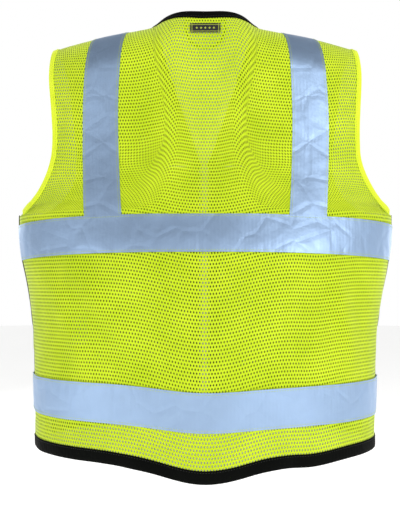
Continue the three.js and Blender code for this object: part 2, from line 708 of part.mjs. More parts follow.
// A patch pocket standing off the cloth: a flat face, and a U-shaped gusset back to the cloth.
function pocket(frame, width, height, depth) {
  const half = width / 2;
  const inside = half - POCKET_WALL;
  const faceBack = depth - POCKET_WALL;
  const face = block(frame, [-half, -height, faceBack], [half, 0, depth]);
  const outer = block(frame, [-half, -height, -POCKET_REACH], [half, 0, faceBack - GUSSET_GAP]);
  const floor = -height + POCKET_WALL;
  const inner = block(frame, [-inside, floor, -POCKET_REACH - 1], [inside, 1, depth]);
  return { face, gusset: geometryOf(solid(outer).subtract(solid(inner)).subtract(core)) };
}

// A lid sewn above a pocket: out over the mouth, then down in front of the face.
function flap(frame, width, depth, length) {
  const half = width / 2 + FLAP_MARGIN;
  const front = depth + 2 * LAYER_GAP + PAD_THICKNESS * 2;
  const top = FLAP_SEAM_HEIGHT + FLAP_THICKNESS / 2;
  const face = front + FLAP_THICKNESS;
  const lid = block(frame, [-half, top - FLAP_THICKNESS, FLAP_SEAM_OFFSET], [half, top, face]);
  const apron = block(frame, [-half, top - length, front], [half, top - FLAP_THICKNESS / 2, face]);
  return geometryOf(solid(lid).add(solid(apron)));
}

// The two halves of a hook and loop closure, one on the pocket and one under the flap.
function closure(frame, width, depth, length) {
  const half = (width * PAD_WIDTH_SHARE) / 2;
  const low = FLAP_SEAM_HEIGHT - length + LAYER_GAP * 2;
  const loop = [depth + PAD_GAP, depth + PAD_GAP + PAD_THICKNESS];
  const hook = [loop[1] + CLOSURE_GAP, loop[1] + CLOSURE_GAP + PAD_THICKNESS];
  const pad = ([from, to]) => block(frame, [-half, low, from], [half, low + PAD_HEIGHT, to]);
  return { loop: pad(loop), hook: pad(hook) };
}

const CHEST_POCKET_TOP = -VEE_DROP - CHEST_POCKET_BELOW_VEE;
const CARGO_POCKET_TOP = CHEST_TAPE_BOTTOM - CARGO_POCKET_BELOW_TAPE;
const CARGO_ANGLE = THREE.MathUtils.degToRad(CARGO_POCKET_ANGLE);

const chestFrame = (hand) => frameOn(across(-1, hand * CHEST_POCKET_CENTRE, CHEST_POCKET_TOP));
const cargoFrame = (hand) => frameOn(round(-1, hand * CARGO_ANGLE, CARGO_POCKET_TOP));

// A chest pocket with narrow channels for pens.
function penPocket(frame) {
  const half = CHEST_POCKET_WIDTH / 2;
  const low = -CHEST_POCKET_HEIGHT;
  let made = solid(block(frame, [-half, low, -POCKET_REACH], [half, 0, CHEST_POCKET_DEPTH]));
  const room = (CHEST_POCKET_WIDTH - POCKET_WALL) / PEN_CHANNELS - POCKET_WALL;
  for (let i = 0; i < PEN_CHANNELS; i += 1) {
    const from = -half + POCKET_WALL + i * (room + POCKET_WALL);
    const cut = block(
      frame,
      [from, low + POCKET_WALL, -POCKET_REACH - 1],
      [from + room, 1, CHEST_POCKET_DEPTH - POCKET_WALL],
    );
    made = made.subtract(solid(cut));
  }
  return geometryOf(made.subtract(core));
}

// A webbing bridge on the shoulder for a radio microphone's clip.
function micTab(hand) {
  const frame = frameOn(across(-1, hand * MIC_TAB_CENTRE, -MIC_TAB_DROP));
  const half = MIC_TAB_WIDTH / 2;
  const end = MIC_TAB_LENGTH / 2;
  const room = end - MIC_TAB_FOOT;
  const base = CLOTH + LAYER_GAP * 2;
  const top = base + MIC_TAB_GAP + MIC_TAB_WEBBING;
  const body = solid(block(frame, [-half, -end, base], [half, end, top]));
  const gap = block(frame, [-half - 1, -room, base - 1], [half + 1, room, base + MIC_TAB_GAP]);
  return geometryOf(body.subtract(solid(gap)));
}

// ---- Zip ----

const ZIP_TOP = -VEE_DROP - STOP_HEIGHT - 2;
const ZIP_BOTTOM = HEM + HEM_BINDING_HEIGHT / 2 + RETAINER_HEIGHT;
const zipPoint = (z) => new THREE.Vector3(0, -frontDepth(z), z);
const zipUp = zipPoint(ZIP_TOP).sub(zipPoint(ZIP_BOTTOM)).normalize();
const ZIP_LENGTH = zipPoint(ZIP_TOP).distanceTo(zipPoint(ZIP_BOTTOM));

// A frame at the bottom of the chain: u to the wearer's left, v up the chain, n outwards.
function zipFrame() {
  const u = new THREE.Vector3(1, 0, 0);
  const n = u.clone().cross(zipUp).normalize();
  return new THREE.Matrix4().makeBasis(u, zipUp, n).setPosition(zipPoint(ZIP_BOTTOM));
}
const zip = zipFrame();

function sideways(hand, from, to) {
  return hand > 0 ? [from, to] : [-to, -from];
}

const TOOTH_ROOT = TEETH_HALF_GAP + TOOTH_LENGTH;
const CHAIN_EDGE = TOOTH_ROOT + BEAD_WIDTH;
const TOOTH_HALF = TOOTH_THICKNESS / 2;
const BEAD_HALF = 0.6 * TOOTH_HALF;
const TOOTH_OVERLAP = 0.5; // how far a tooth runs into its bead

// A row of moulded teeth on its bead.
function zipTeeth(hand) {
  const [beadLow, beadHigh] = sideways(hand, TOOTH_ROOT, CHAIN_EDGE);
  const [toothLow, toothHigh] = sideways(hand, TEETH_HALF_GAP, TOOTH_ROOT + TOOTH_OVERLAP);
  let made = solid(block(zip, [beadLow, 0, -BEAD_HALF], [beadHigh, ZIP_LENGTH, BEAD_HALF]));
  const count = Math.floor((ZIP_LENGTH - TOOTH_HEIGHT) / TOOTH_PITCH);
  for (let i = 0; i <= count; i += 1) {
    const low = i * TOOTH_PITCH + (hand > 0 ? 0 : TOOTH_HEIGHT / 2);
    const high = Math.min(low + TOOTH_HEIGHT, ZIP_LENGTH);
    const tooth = block(zip, [toothLow, low, -TOOTH_HALF], [toothHigh, high, TOOTH_HALF]);
    made = made.add(solid(tooth));
  }
  return geometryOf(made);
}

const TAPE_INNER = CHAIN_EDGE + 2 * SLIDER_CLEARANCE;

// The woven tape behind the front edge, which carries the teeth.
function zipTape(hand) {
  const grid = steps(10).map((t) => {
    const z = THREE.MathUtils.lerp(HEM + ZIP_TAPE_ABOVE_HEM, ZIP_TOP + TOOTH_THICKNESS, t);
    return [0, 1].map((s) => across(-1, TAPE_INNER + s * ZIP_TAPE_WIDTH, z));
  });
  const high = BINDING_BACK - LAYER_GAP;
  return layer(handed(hand, grid), high - ZIP_TAPE_THICKNESS, high);
}

function topStop(hand) {
  const [low, high] = sideways(hand, TEETH_HALF_GAP + 1, CHAIN_EDGE);
  const start = ZIP_LENGTH + ZIP_PART_GAP;
  return block(zip, [low, start, -TOOTH_HALF], [high, ZIP_LENGTH + STOP_HEIGHT, TOOTH_HALF]);
}

function insertionPin() {
  const high = CHAIN_EDGE;
  const low = high - PIN_WIDTH;
  return block(zip, [low, -PIN_LENGTH, -TOOTH_HALF], [high, -ZIP_PART_GAP, TOOTH_HALF]);
}

function retainerBox() {
  const low = -CHAIN_EDGE;
  const half = RETAINER_THICKNESS / 2;
  const bottom = -RETAINER_HEIGHT - ZIP_PART_GAP;
  return block(zip, [low, bottom, -half], [low + RETAINER_WIDTH, -ZIP_PART_GAP, half]);
}

const SLIDER_RIGHT = -CHAIN_EDGE - SLIDER_CLEARANCE;
const SLIDER_LEFT = SLIDER_RIGHT + SLIDER_WIDTH;
const SLIDER_MIDDLE = SLIDER_RIGHT + SLIDER_WIDTH / 2;
const SLIDER_INNER = TOOTH_HALF + SLIDER_CLEARANCE;
const SLIDER_OUTER = SLIDER_INNER + SLIDER_PLATE;
const SLIDER_TOP = ZIP_PART_GAP + SLIDER_LENGTH;

const joined = (pieces) => geometryOf(pieces.map(solid).reduce((all, one) => all.add(one)));

// The slider stands on the retainer box and rides on the right row of teeth.
function slider() {
  const plate = (left, low, high) =>
    block(zip, [left, ZIP_PART_GAP, low], [SLIDER_LEFT, SLIDER_TOP, high]);
  const half = BRIDGE_WIDTH / 2;
  const [left, right] = [SLIDER_MIDDLE - half, SLIDER_MIDDLE + half];
  const high = SLIDER_OUTER + BRIDGE_HEIGHT;
  const low = ZIP_PART_GAP + BRIDGE_INSET;
  const top = SLIDER_TOP - BRIDGE_INSET;
  const root = SLIDER_OUTER - SLIDER_PLATE / 2;
  const lug = (v) => block(zip, [left, v, root], [right, v + LUG_LENGTH, high]);
  const bridge = block(zip, [left, low, high - BRIDGE_THICKNESS], [right, top, high]);
  return joined([
    plate(SLIDER_RIGHT, SLIDER_INNER, SLIDER_OUTER),
    plate(SLIDER_RIGHT, -SLIDER_OUTER, -SLIDER_INNER),
    plate(SLIDER_LEFT - SLIDER_PLATE, -SLIDER_OUTER, SLIDER_OUTER),
    lug(low),
    lug(top - LUG_LENGTH),
    bridge,
  ]);
}

// A flat pull tab. Its long eye turns right round the slider's bridge.
function pullTab() {
  const half = PULL_WIDTH / 2;
  const [left, right] = [SLIDER_MIDDLE - half, SLIDER_MIDDLE + half];
  const top = SLIDER_TOP - PULL_DROP;
  const eye = top - PULL_EYE;
  const low = SLIDER_OUTER + SLIDER_CLEARANCE;
  const high = low + PULL_THICKNESS;
  const arm = (from) => block(zip, [from, eye - 1, low], [from + PULL_ARM, top, high]);
  return joined([
    block(zip, [left, top - PULL_LENGTH, low], [right, eye, high]),
    arm(left),
    arm(right - PULL_ARM),
    block(zip, [left, top - PULL_ARM, low], [right, top, high]),
  ]);
}

// ---- Labels and loop at the neck ----

function neckLabel() {
  const grid = [0, 1].map((t) =>
    sides(3).map((c) => across(1, (c * LABEL_WIDTH) / 2, -LABEL_DROP - LABEL_HEIGHT * (1 - t))),
  );
  return layer(grid, TAPE_BASE, TAPE_FACE);
}

function careLabel() {
  const frame = frameOn(round(-1, CARGO_ANGLE, WAIST + CARE_LABEL_HEIGHT / 2));
  const half = CARE_LABEL_WIDTH / 2;
  const back = -CARE_LABEL_INWARD - CARE_LABEL_THICKNESS;
  return block(frame, [-half, -CARE_LABEL_HEIGHT, back], [half, 0, -CARE_LABEL_INWARD]);
}

const LOOP_TOP = backNeckPoint(0).z - LOOP_BELOW_EDGE;
const LOOP_Y = across(1, LOOP_WIDTH / 2, LOOP_TOP).y - LOOP_CORD / 2 - LOOP_CLEARANCE;

// The loop hangs inside the back of the neck.
function hangerLoop() {
  const half = LOOP_WIDTH / 2;
  const bend = LOOP_DROP / 2;
  const outline = new THREE.Shape();
  outline.moveTo(half, 0);
  outline.lineTo(-half, 0);
  outline.lineTo(-half, -bend);
  outline.quadraticCurveTo(-half, -LOOP_DROP, 0, -LOOP_DROP);
  outline.quadraticCurveTo(half, -LOOP_DROP, half, -bend);
  const inside = new THREE.Path();
  const inner = half - LOOP_CORD;
  inside.moveTo(-inner, -LOOP_CORD);
  inside.lineTo(inner, -LOOP_CORD);
  inside.lineTo(inner, -bend);
  inside.quadraticCurveTo(inner, -LOOP_DROP + LOOP_CORD, 0, -LOOP_DROP + LOOP_CORD);
  inside.quadraticCurveTo(-inner, -LOOP_DROP + LOOP_CORD, -inner, -bend);
  outline.holes.push(inside);
  const across = { depth: LOOP_CORD, bevelEnabled: false, curveSegments: 6 };
  const made = new THREE.ExtrudeGeometry(outline, across);
  made.rotateX(HALF_PI);
  made.translate(0, LOOP_Y + LOOP_CORD / 2, LOOP_TOP);
  return made;
}

// ---- The vest ----

const vest = new THREE.Group();

function add(name, geometry, colour, roughness = 0.85, metalness = 0) {
  const finish = new THREE.MeshStandardMaterial({ color: colour, roughness, metalness });
  const mesh = new THREE.Mesh(geometry, finish);
  mesh.name = name;
  vest.add(mesh);
}
const addCloth = (name, geometry) => add(name, geometry, LIME);
const addTape = (name, geometry) => add(name, geometry, SILVER, 0.45, 0.2);
const addBlack = (name, geometry) => add(name, geometry, BLACK, 0.8);

function addPocket(name, hand, frame, sizes) {
  const { width, height, depth, flapLength } = sizes;
  const made = pocket(frame, width, height, depth);
  const pads = closure(frame, width, depth, flapLength);
  addCloth(`${name}_pocket${hand}_face`, made.face);
  addCloth(`${name}_pocket${hand}_gusset`, made.gusset);
  addBlack(`${name}_loop_pad${hand}`, pads.loop);
  addCloth(`${name}_flap${hand}`, flap(frame, width, depth, flapLength));
  addBlack(`${name}_hook_pad${hand}`, pads.hook);
}

addCloth("back_panel", backPanel());
addBlack("neck_binding", neckBinding());
addBlack("hem_binding_back", hemBinding(1, -HALF_PI, HALF_PI, steps(2 * HALF_COLUMNS)));
addTape("chest_tape_back", chestTapeBack());
addTape("waist_tape_back", waistTapeBack());
addBlack("neck_label", neckLabel());
add("care_label", careLabel(), PALE);
addBlack("hanger_loop", hangerLoop());

for (const [word, hand] of [
  ["left", 1],
  ["right", -1],
]) {
  addCloth(`shoulder_panel_${word}`, shoulderPanel(hand));
  addTape(`shoulder_tape_${word}`, shoulderTape(hand));
  add(`armhole_binding_${word}`, armholeBinding(hand), LIME_BINDING);
  addBlack(`side_binding_${word}`, sideBinding(hand));
  addBlack(`mic_tab_${word}`, micTab(hand));
  addCloth(`front_panel_${word}`, frontPanel(hand));
  addBlack(`hem_binding_front_${word}`, frontHemBinding(hand));
  addTape(`chest_tape_front_${word}`, frontTape(hand, CHEST_TAPE_BOTTOM, (a) => -chestTapeSag(a)));
  addTape(`waist_tape_front_${word}`, frontTape(hand, WAIST_TAPE_BOTTOM, waistTapeRise));
  addTape(`vertical_tape_front_${word}`, frontVerticalTape(hand));
  add(`armhole_binding_front_${word}`, frontArmholeBinding(hand), LIME_BINDING);
  addBlack(`zip_tape_${word}`, zipTape(hand));
  addBlack(`zip_teeth_${word}`, zipTeeth(hand));
  addBlack(`zip_top_stop_${word}`, topStop(hand));
  addPocket("cargo", `_${word}`, cargoFrame(hand), {
    width: CARGO_POCKET_WIDTH,
    height: CARGO_POCKET_HEIGHT,
    depth: CARGO_POCKET_DEPTH,
    flapLength: CARGO_FLAP_LENGTH,
  });
}
addPocket("radio", "", chestFrame(1), {
  width: CHEST_POCKET_WIDTH,
  height: CHEST_POCKET_HEIGHT,
  depth: CHEST_POCKET_DEPTH,
  flapLength: CHEST_FLAP_LENGTH,
});
addCloth("pen_pocket", penPocket(chestFrame(-1)));
addBlack("zip_insertion_pin", insertionPin());
addBlack("zip_retainer_box", retainerBox());
addBlack("zip_slider", slider());
addBlack("zip_pull_tab", pullTab());

export default vest;
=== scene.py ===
"""High visibility work vest: netting, tapes, bindings, pockets and zip, hung as it is worn."""

import math
from functools import partial

import bmesh
import bpy
from mathutils import Matrix, Vector, noise


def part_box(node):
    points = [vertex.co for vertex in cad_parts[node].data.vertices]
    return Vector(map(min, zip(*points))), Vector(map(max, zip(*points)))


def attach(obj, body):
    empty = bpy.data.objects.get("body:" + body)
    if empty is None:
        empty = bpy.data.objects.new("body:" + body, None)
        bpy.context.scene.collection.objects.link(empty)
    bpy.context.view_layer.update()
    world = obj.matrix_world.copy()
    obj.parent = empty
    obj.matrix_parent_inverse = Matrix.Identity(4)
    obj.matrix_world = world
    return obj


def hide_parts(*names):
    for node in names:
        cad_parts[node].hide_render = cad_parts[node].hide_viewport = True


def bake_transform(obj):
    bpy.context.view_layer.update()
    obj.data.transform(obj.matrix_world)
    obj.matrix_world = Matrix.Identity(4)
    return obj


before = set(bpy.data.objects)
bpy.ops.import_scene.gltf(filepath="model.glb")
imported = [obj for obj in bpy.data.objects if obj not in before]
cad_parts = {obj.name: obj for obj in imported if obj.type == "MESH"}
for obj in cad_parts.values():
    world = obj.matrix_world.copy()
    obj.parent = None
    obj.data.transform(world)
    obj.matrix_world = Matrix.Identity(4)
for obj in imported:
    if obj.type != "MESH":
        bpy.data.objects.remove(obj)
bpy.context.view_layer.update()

bl_info = {
    "name": "High visibility vest",
    "version": (1, 0, 0),
    "blender": (4, 5, 0),
    "location": "View3D > Sidebar > Vest",
    "description": "Builds the cloth, tapes and fastenings of a work vest",
    "category": "Object",
}

HALF_PI = math.pi / 2
MM = 0.001

# ---- Body shape that the vest hangs to, in metres ----
BACK_LENGTH = 0.640
HEM_RISE_AT_SIDE = 0.022  # the hem dips in the middle of the back
HEM_DIP_HALF_WIDTH = 0.075
HEM_LOBE = (-0.138, 0.035, 0.005)  # a low lobe: place across, half width, depth
CHEST_HALF_WIDTH = 0.277
WAIST_HALF_WIDTH = 0.252
HEM_HALF_WIDTH = 0.247
BLADE_HALF_WIDTH = 0.262
SHOULDER_HALF_WIDTH = 0.250
BACK_DEPTH = 0.148
CHEST_BACK_DEPTH = 0.126
BLADE_BACK_DEPTH = 0.100
NECK_BACK_DEPTH = 0.078
FRONT_DEPTH_AT_TOP = 0.096
FRONT_DEPTH_AT_HEM = 0.150
SECTION_SQUARENESS = 0.12
SHOULDER_ROUND = 0.070
SHOULDER_DROP = 0.13
SHOULDER_CURVE = 0.4  # how fast the ridge falls away outwards, per metre
NECK_HALF_WIDTH = 0.072
NECK_RISE = 0.046
NECK_BLEND = 0.009
NECK_EDGE_DEPTH = 0.072
BLADE_DROP = 0.190

# ---- Cut of the cloth ----
ARMPIT = -0.283
ARMHOLE_HALF_WIDTH = 0.229
ARMHOLE_CURVE_DROP = 0.200
ARMHOLE_ROUNDNESS = 1.7
FRONT_ARMHOLE_CUT = 0.012
ARMHOLE_TAPER = 0.010  # the armhole edge comes in this much below the shoulder
ARMHOLE_TAPER_START = 0.060
VEE_DROP = 0.190
VEE_BOTTOM_HALF_GAP = 0.005
SEAM_GAP = 0.0005
CLOTH_INSET = 0.002  # cloth edge inside the fold of its binding
NECK_BINDING_WIDTH = 0.013
ARMHOLE_BINDING_WIDTH = 0.009
HEM_BINDING_HEIGHT = 0.016
SIDE_BINDING_WIDTH = 0.016
TAPE_WIDTH = 0.0508
CHEST_TAPE_TOP = ARMPIT - 0.012
CHEST_TAPE_BOTTOM = CHEST_TAPE_TOP - TAPE_WIDTH
HEM = -BACK_LENGTH
WAIST_TAPE_BOTTOM = HEM + 0.063
WAIST = ARMPIT - (BACK_LENGTH + ARMPIT) / 2
TAPE_RISE_SHARE = 0.45  # how much of the hem's rise the waist tape takes
TAPE_DROP = 0.004  # how far the waist tape drops on the wearer's right
TAPE_DROP_REACH = 0.12
CHEST_TAPE_SAG = 0.007  # how far the chest tape drops towards the side seams
SHOULDER_TAPE_CENTRE = 0.137
SHOULDER_TAPE_BOW = 0.010
TAPE_TUCK = 0.010  # vertical tape hidden under the chest tape

# ---- Layers, as heights above the form ----
NETTING_HEIGHT = 0.4 * MM
UNDER_TAPE_HEIGHT = 1.2 * MM
OVER_TAPE_HEIGHT = 2.1 * MM
SIDE_BINDING_LAYER = 1.9 * MM
LABEL_LAYER = 2.4 * MM
NETTING_THICKNESS = 0.7 * MM
TAPE_THICKNESS = 0.5 * MM
BINDING_THICKNESS = 0.5 * MM
POCKET_CLOTH = 0.9 * MM

# ---- Zip ----
TEETH_HALF_GAP = 0.00475
TOOTH_LENGTH = 0.004
BEAD_WIDTH = 0.002
FRONT_INNER = TEETH_HALF_GAP + TOOTH_LENGTH + BEAD_WIDTH + 0.001
ZIP_TAPE_INNER = TEETH_HALF_GAP + TOOTH_LENGTH + BEAD_WIDTH
ZIP_TAPE_WIDTH = 0.0142
ZIP_TOP = -0.196
ZIP_BOTTOM = -0.622
TOOTH_PITCH = 0.0036

# ---- Pockets and tabs ----
CHEST_POCKET = (0.076, 0.084, 0.016, 0.036)  # width, height, depth, flap length
CHEST_POCKET_CENTRE = 0.066
CHEST_POCKET_TOP = -VEE_DROP - 0.014
CARGO_POCKET = (0.112, 0.128, 0.028, 0.052)
CARGO_ANGLE = math.radians(54)
CARGO_POCKET_TOP = CHEST_TAPE_BOTTOM - 0.026
FLAP_MARGIN = 0.003
FLAP_SEAM_HEIGHT = 0.006
PAD_HEIGHT = 0.018
PAD_WIDTH_SHARE = 0.5
PAD_THICKNESS = 0.8 * MM
LOOP_PAD_LIFT = 0.75 * MM
HOOK_PAD_LIFT = 2.15 * MM
FLAP_LIFT = 4.6 * MM
PEN_CHANNELS = 3
MIC_TAB_CENTRE = 0.084
MIC_TAB_DROP = 0.122
MIC_TAB_LENGTH = 0.052
MIC_TAB_WIDTH = 0.022
MIC_TAB_TOP = 0.013

# ---- Thread ----
STITCH_PITCH = 3.6 * MM
STITCH_SHARE = 0.72
THREAD_RADIUS = 0.32 * MM

SIDES = (("left", 1), ("right", -1))


def lerp(a, b, t):
    return a + (b - a) * t


def clamp(value, low, high):
    return max(low, min(high, value))


def smooth(t):
    t = clamp(t, 0, 1)
    return t * t * (3 - 2 * t)


def through(stations):
    """A smooth curve through (place, value) stations that never overshoots them."""
    last = len(stations) - 1

    def rise(i):
        return (stations[i + 1][1] - stations[i][1]) / (stations[i + 1][0] - stations[i][0])

    slopes = [rise(0)]
    for i in range(1, last):
        before, after = rise(i - 1), rise(i)
        slopes.append(0 if before * after <= 0 else 2 * before * after / (before + after))
    slopes.append(rise(last - 1))

    def value(place):
        at = clamp(place, stations[0][0], stations[last][0])
        i = 0
        while i < last - 1 and at > stations[i + 1][0]:
            i += 1
        span = stations[i + 1][0] - stations[i][0]
        t = (at - stations[i][0]) / span
        low, high = stations[i][1], stations[i + 1][1]
        return (
            low * (1 + 2 * t) * (1 - t) ** 2
            + high * (3 - 2 * t) * t**2
            + span * t * (1 - t) * (slopes[i] * (1 - t) - slopes[i + 1] * t)
        )

    return value


half_width = through(
    [
        (HEM, HEM_HALF_WIDTH),
        (WAIST, WAIST_HALF_WIDTH),
        (ARMPIT - ARMHOLE_BINDING_WIDTH, CHEST_HALF_WIDTH),
        (-BLADE_DROP, BLADE_HALF_WIDTH),
        (0, SHOULDER_HALF_WIDTH),
    ]
)
back_depth = through(
    [
        (HEM, BACK_DEPTH),
        (WAIST, BACK_DEPTH),
        (CHEST_TAPE_BOTTOM, (BACK_DEPTH + CHEST_BACK_DEPTH) / 2 + 0.003),
        (CHEST_TAPE_TOP, CHEST_BACK_DEPTH),
        (-BLADE_DROP, BLADE_BACK_DEPTH),
        (0, NECK_BACK_DEPTH),
    ]
)


def depth_on(side, z):
    if side > 0:
        return back_depth(z)
    return lerp(FRONT_DEPTH_AT_HEM, FRONT_DEPTH_AT_TOP, clamp((z - HEM) / BACK_LENGTH, 0, 1))


def ridge(x):
    """Height of the shoulder ridge, which climbs towards the neck."""
    neck = NECK_RISE * (1 - (x / NECK_HALF_WIDTH) ** 2)
    out = abs(x) - NECK_HALF_WIDTH
    shoulder = -SHOULDER_DROP * out - SHOULDER_CURVE * out**2
    return (neck + shoulder + math.hypot(neck - shoulder, NECK_BLEND)) / 2 - NECK_BLEND / 3


def outside(x, y, z):
    """Zero on the form, positive outside it."""
    f = x / half_width(z)
    full = (1 - f * f) * (1 + SECTION_SQUARENESS * f * f) ** 2
    roll = max(0, 1 - (ridge(x) - z) / SHOULDER_ROUND)
    return (y / depth_on(y, z)) ** 2 - full * (1 - roll * roll)


def gradient(p):
    step = 0.0005
    x, y, z = p
    return Vector(
        (
            outside(x + step, y, z) - outside(x - step, y, z),
            outside(x, y + step, z) - outside(x, y - step, z),
            outside(x, y, z + step) - outside(x, y, z - step),
        )
    ) / (2 * step)


def normal_at(p):
    return gradient(p).normalized()


def settle(p):
    """The nearest point of the form."""
    for _ in range(4):
        g = gradient(p)
        p = p - g * (outside(*p) / max(g.length_squared, 1e-9))
    return p


def around(side, angle, z):
    """A point of the form by its angle round the section, 0 in the middle, and its height."""
    f = math.sin(angle)
    x = half_width(z) * f
    roll = max(0, 1 - (ridge(x) - z) / SHOULDER_ROUND)
    full = math.cos(angle) * (1 + SECTION_SQUARENESS * f * f)
    return Vector((x, side * depth_on(side, z) * full * math.sqrt(max(0, 1 - roll * roll)), z))


def across(side, x, z):
    return around(side, math.asin(clamp(x / half_width(z), -1, 1)), z)


def down(side, x, way):
    """A point of the form by its distance across and its way down from the ridge."""
    turn = min(way / SHOULDER_ROUND, HALF_PI)
    straight = max(0, way - SHOULDER_ROUND * HALF_PI)
    z = ridge(x) - SHOULDER_ROUND * (1 - math.cos(turn)) - straight
    f = x / half_width(z)
    full = math.sqrt(max(0, 1 - f * f)) * (1 + SECTION_SQUARENESS * f * f)
    return Vector((x, side * depth_on(side, z) * full * math.sin(turn), z))


def way_down(p):
    t = (ridge(p.x) - p.z) / SHOULDER_ROUND
    if t >= 1:
        return SHOULDER_ROUND * (HALF_PI + t - 1)
    return SHOULDER_ROUND * math.acos(clamp(1 - t, -1, 1))


def seam_angle(side, z):
    return HALF_PI - SEAM_GAP / depth_on(side, z)


def armhole_x(side, z, inset):
    """Edge of an armhole at a height, or of the cloth that far inside it."""
    taper = ARMHOLE_TAPER * smooth((-z - ARMHOLE_TAPER_START) / (VEE_DROP - ARMHOLE_TAPER_START))
    inner = ARMHOLE_HALF_WIDTH - (FRONT_ARMHOLE_CUT if side < 0 else 0) - taper - inset
    bottom = ARMPIT - inset
    t = clamp((-ARMHOLE_CURVE_DROP - z) / (-ARMHOLE_CURVE_DROP - bottom), 0, 1)
    bow = 1 - (1 - t**ARMHOLE_ROUNDNESS) ** (1 / ARMHOLE_ROUNDNESS)
    return inner + (half_width(bottom) * math.sin(seam_angle(side, bottom)) - inner) * bow


def vee_x(z, inset):
    """Edge of the V neck at a height below the ridge."""
    t = clamp(-z / VEE_DROP, 0, 1)
    slant = math.hypot(1, (NECK_HALF_WIDTH - VEE_BOTTOM_HALF_GAP) / VEE_DROP)
    return lerp(NECK_HALF_WIDTH, VEE_BOTTOM_HALF_GAP, t) + inset * slant


def rise_at(x):
    """How much higher the hem is than in the middle of the back."""
    return HEM_RISE_AT_SIDE * (1 - math.exp(-((x / HEM_DIP_HALF_WIDTH) ** 2)))


def hem_at(angle):
    """Height of the hem at an angle, with a low lobe on the wearer's right behind."""
    x = HEM_HALF_WIDTH * math.sin(angle)
    place, half, depth = HEM_LOBE
    return HEM + rise_at(x) - depth * math.exp(-(((x - place) / half) ** 2))


def tape_rise(angle):
    """How much the waist tape rises at an angle, less on the wearer's right."""
    x = HEM_HALF_WIDTH * math.sin(angle)
    return TAPE_RISE_SHARE * rise_at(x) - TAPE_DROP * smooth(-x / TAPE_DROP_REACH)


def tape_sag(angle):
    return CHEST_TAPE_SAG * abs(math.sin(angle)) ** 3


# ---- Folds ----

# Long soft folds of the back: start and end across and up, half width, and how far they stand out.
FOLDS = (
    ((0.185, -0.352), (0.092, -0.475), 0.015, 4.5 * MM),
    ((0.215, -0.365), (0.150, -0.520), 0.013, 3.0 * MM),
    ((0.140, -0.350), (0.020, -0.440), 0.014, 2.0 * MM),
    ((-0.170, -0.352), (-0.200, -0.500), 0.014, 4.0 * MM),
    ((-0.120, -0.352), (-0.070, -0.470), 0.016, 3.0 * MM),
    ((-0.020, -0.352), (-0.040, -0.520), 0.018, 2.0 * MM),
    ((0.075, -0.110), (0.062, -0.280), 0.017, 3.0 * MM),
    ((-0.055, -0.120), (-0.070, -0.285), 0.018, 3.0 * MM),
    ((0.175, -0.060), (0.205, -0.250), 0.013, 2.5 * MM),
    ((-0.185, -0.060), (-0.205, -0.250), 0.013, 2.5 * MM),
    ((0.120, -0.585), (0.080, -0.640), 0.016, 2.5 * MM),
    ((-0.110, -0.585), (-0.075, -0.640), 0.016, 2.5 * MM),
)
BROAD_FOLD = 3.2 * MM
SMALL_FOLD = 0.9 * MM
PUCKER = 0.45 * MM
PUCKER_PITCH = 0.012
PUCKER_REACH = 0.011
TAPE_HOLD = 0.55  # share of the folds that a tape flattens
TAPE_HOLD_REACH = 0.034


def long_fold(x, z, start, end, reach, height):
    run_x, run_z = end[0] - start[0], end[1] - start[1]
    along = ((x - start[0]) * run_x + (z - start[1]) * run_z) / (run_x**2 + run_z**2)
    along = clamp(along, 0, 1)
    away = math.hypot(x - start[0] - along * run_x, z - start[1] - along * run_z)
    return height * math.exp(-((away / reach) ** 2)) * math.sin(math.pi * lerp(0.12, 0.88, along))


def fold(p):
    """How far the cloth stands off the form at a point, the same for every layer there."""
    x, y, z = p
    loose = lerp(0.3, 1, smooth((-0.03 - z) / 0.12))
    waist_middle = WAIST_TAPE_BOTTOM + TAPE_WIDTH / 2
    chest_middle = (CHEST_TAPE_TOP + CHEST_TAPE_BOTTOM) / 2
    middles = (waist_middle, chest_middle)
    taped = max(math.exp(-(((z - middle) / TAPE_HOLD_REACH) ** 2)) for middle in middles)
    loose *= 1 - TAPE_HOLD * taped
    settings = bpy.context.scene.vest
    total = BROAD_FOLD * noise.noise(Vector((x * 10, y * 10, z * 3.4 + 2)))
    total += SMALL_FOLD * noise.noise(Vector((x * 33, y * 33, z * 21 + 5)))
    if y > 0:
        back = smooth(y / 0.05)
        total += back * sum(long_fold(x, z, *one) for one in FOLDS)
    total *= loose
    edge = min(
        abs(z - WAIST_TAPE_BOTTOM),
        abs(z - WAIST_TAPE_BOTTOM - TAPE_WIDTH),
        abs(z - CHEST_TAPE_TOP),
        abs(z - CHEST_TAPE_BOTTOM),
    )
    ripple = math.sin(math.tau * x / PUCKER_PITCH + 3 * noise.noise(Vector((x * 20, z * 20, 1))))
    total += PUCKER * ripple * math.exp(-edge / PUCKER_REACH)
    if y < 0:
        total *= smooth((abs(x) - FRONT_INNER - 0.004) / 0.03)
    return total * settings.fold_depth


def laid(base, height):
    """The cloth's point over a point of the form."""
    return base + normal_at(base) * (height + fold(base))


# ---- Making pieces ----


def as_object(name, bm, finish, sharp=40):
    """A named object from a bmesh, shaded smooth except at sharp edges."""
    mesh = bpy.data.meshes.new(name)
    bm.to_mesh(mesh)
    bm.free()
    made = bpy.data.objects.new(name, mesh)
    bpy.context.scene.collection.objects.link(made)
    mesh.materials.append(material(finish))
    mesh.shade_smooth()
    mesh.set_sharp_from_angle(angle=math.radians(sharp))
    return made


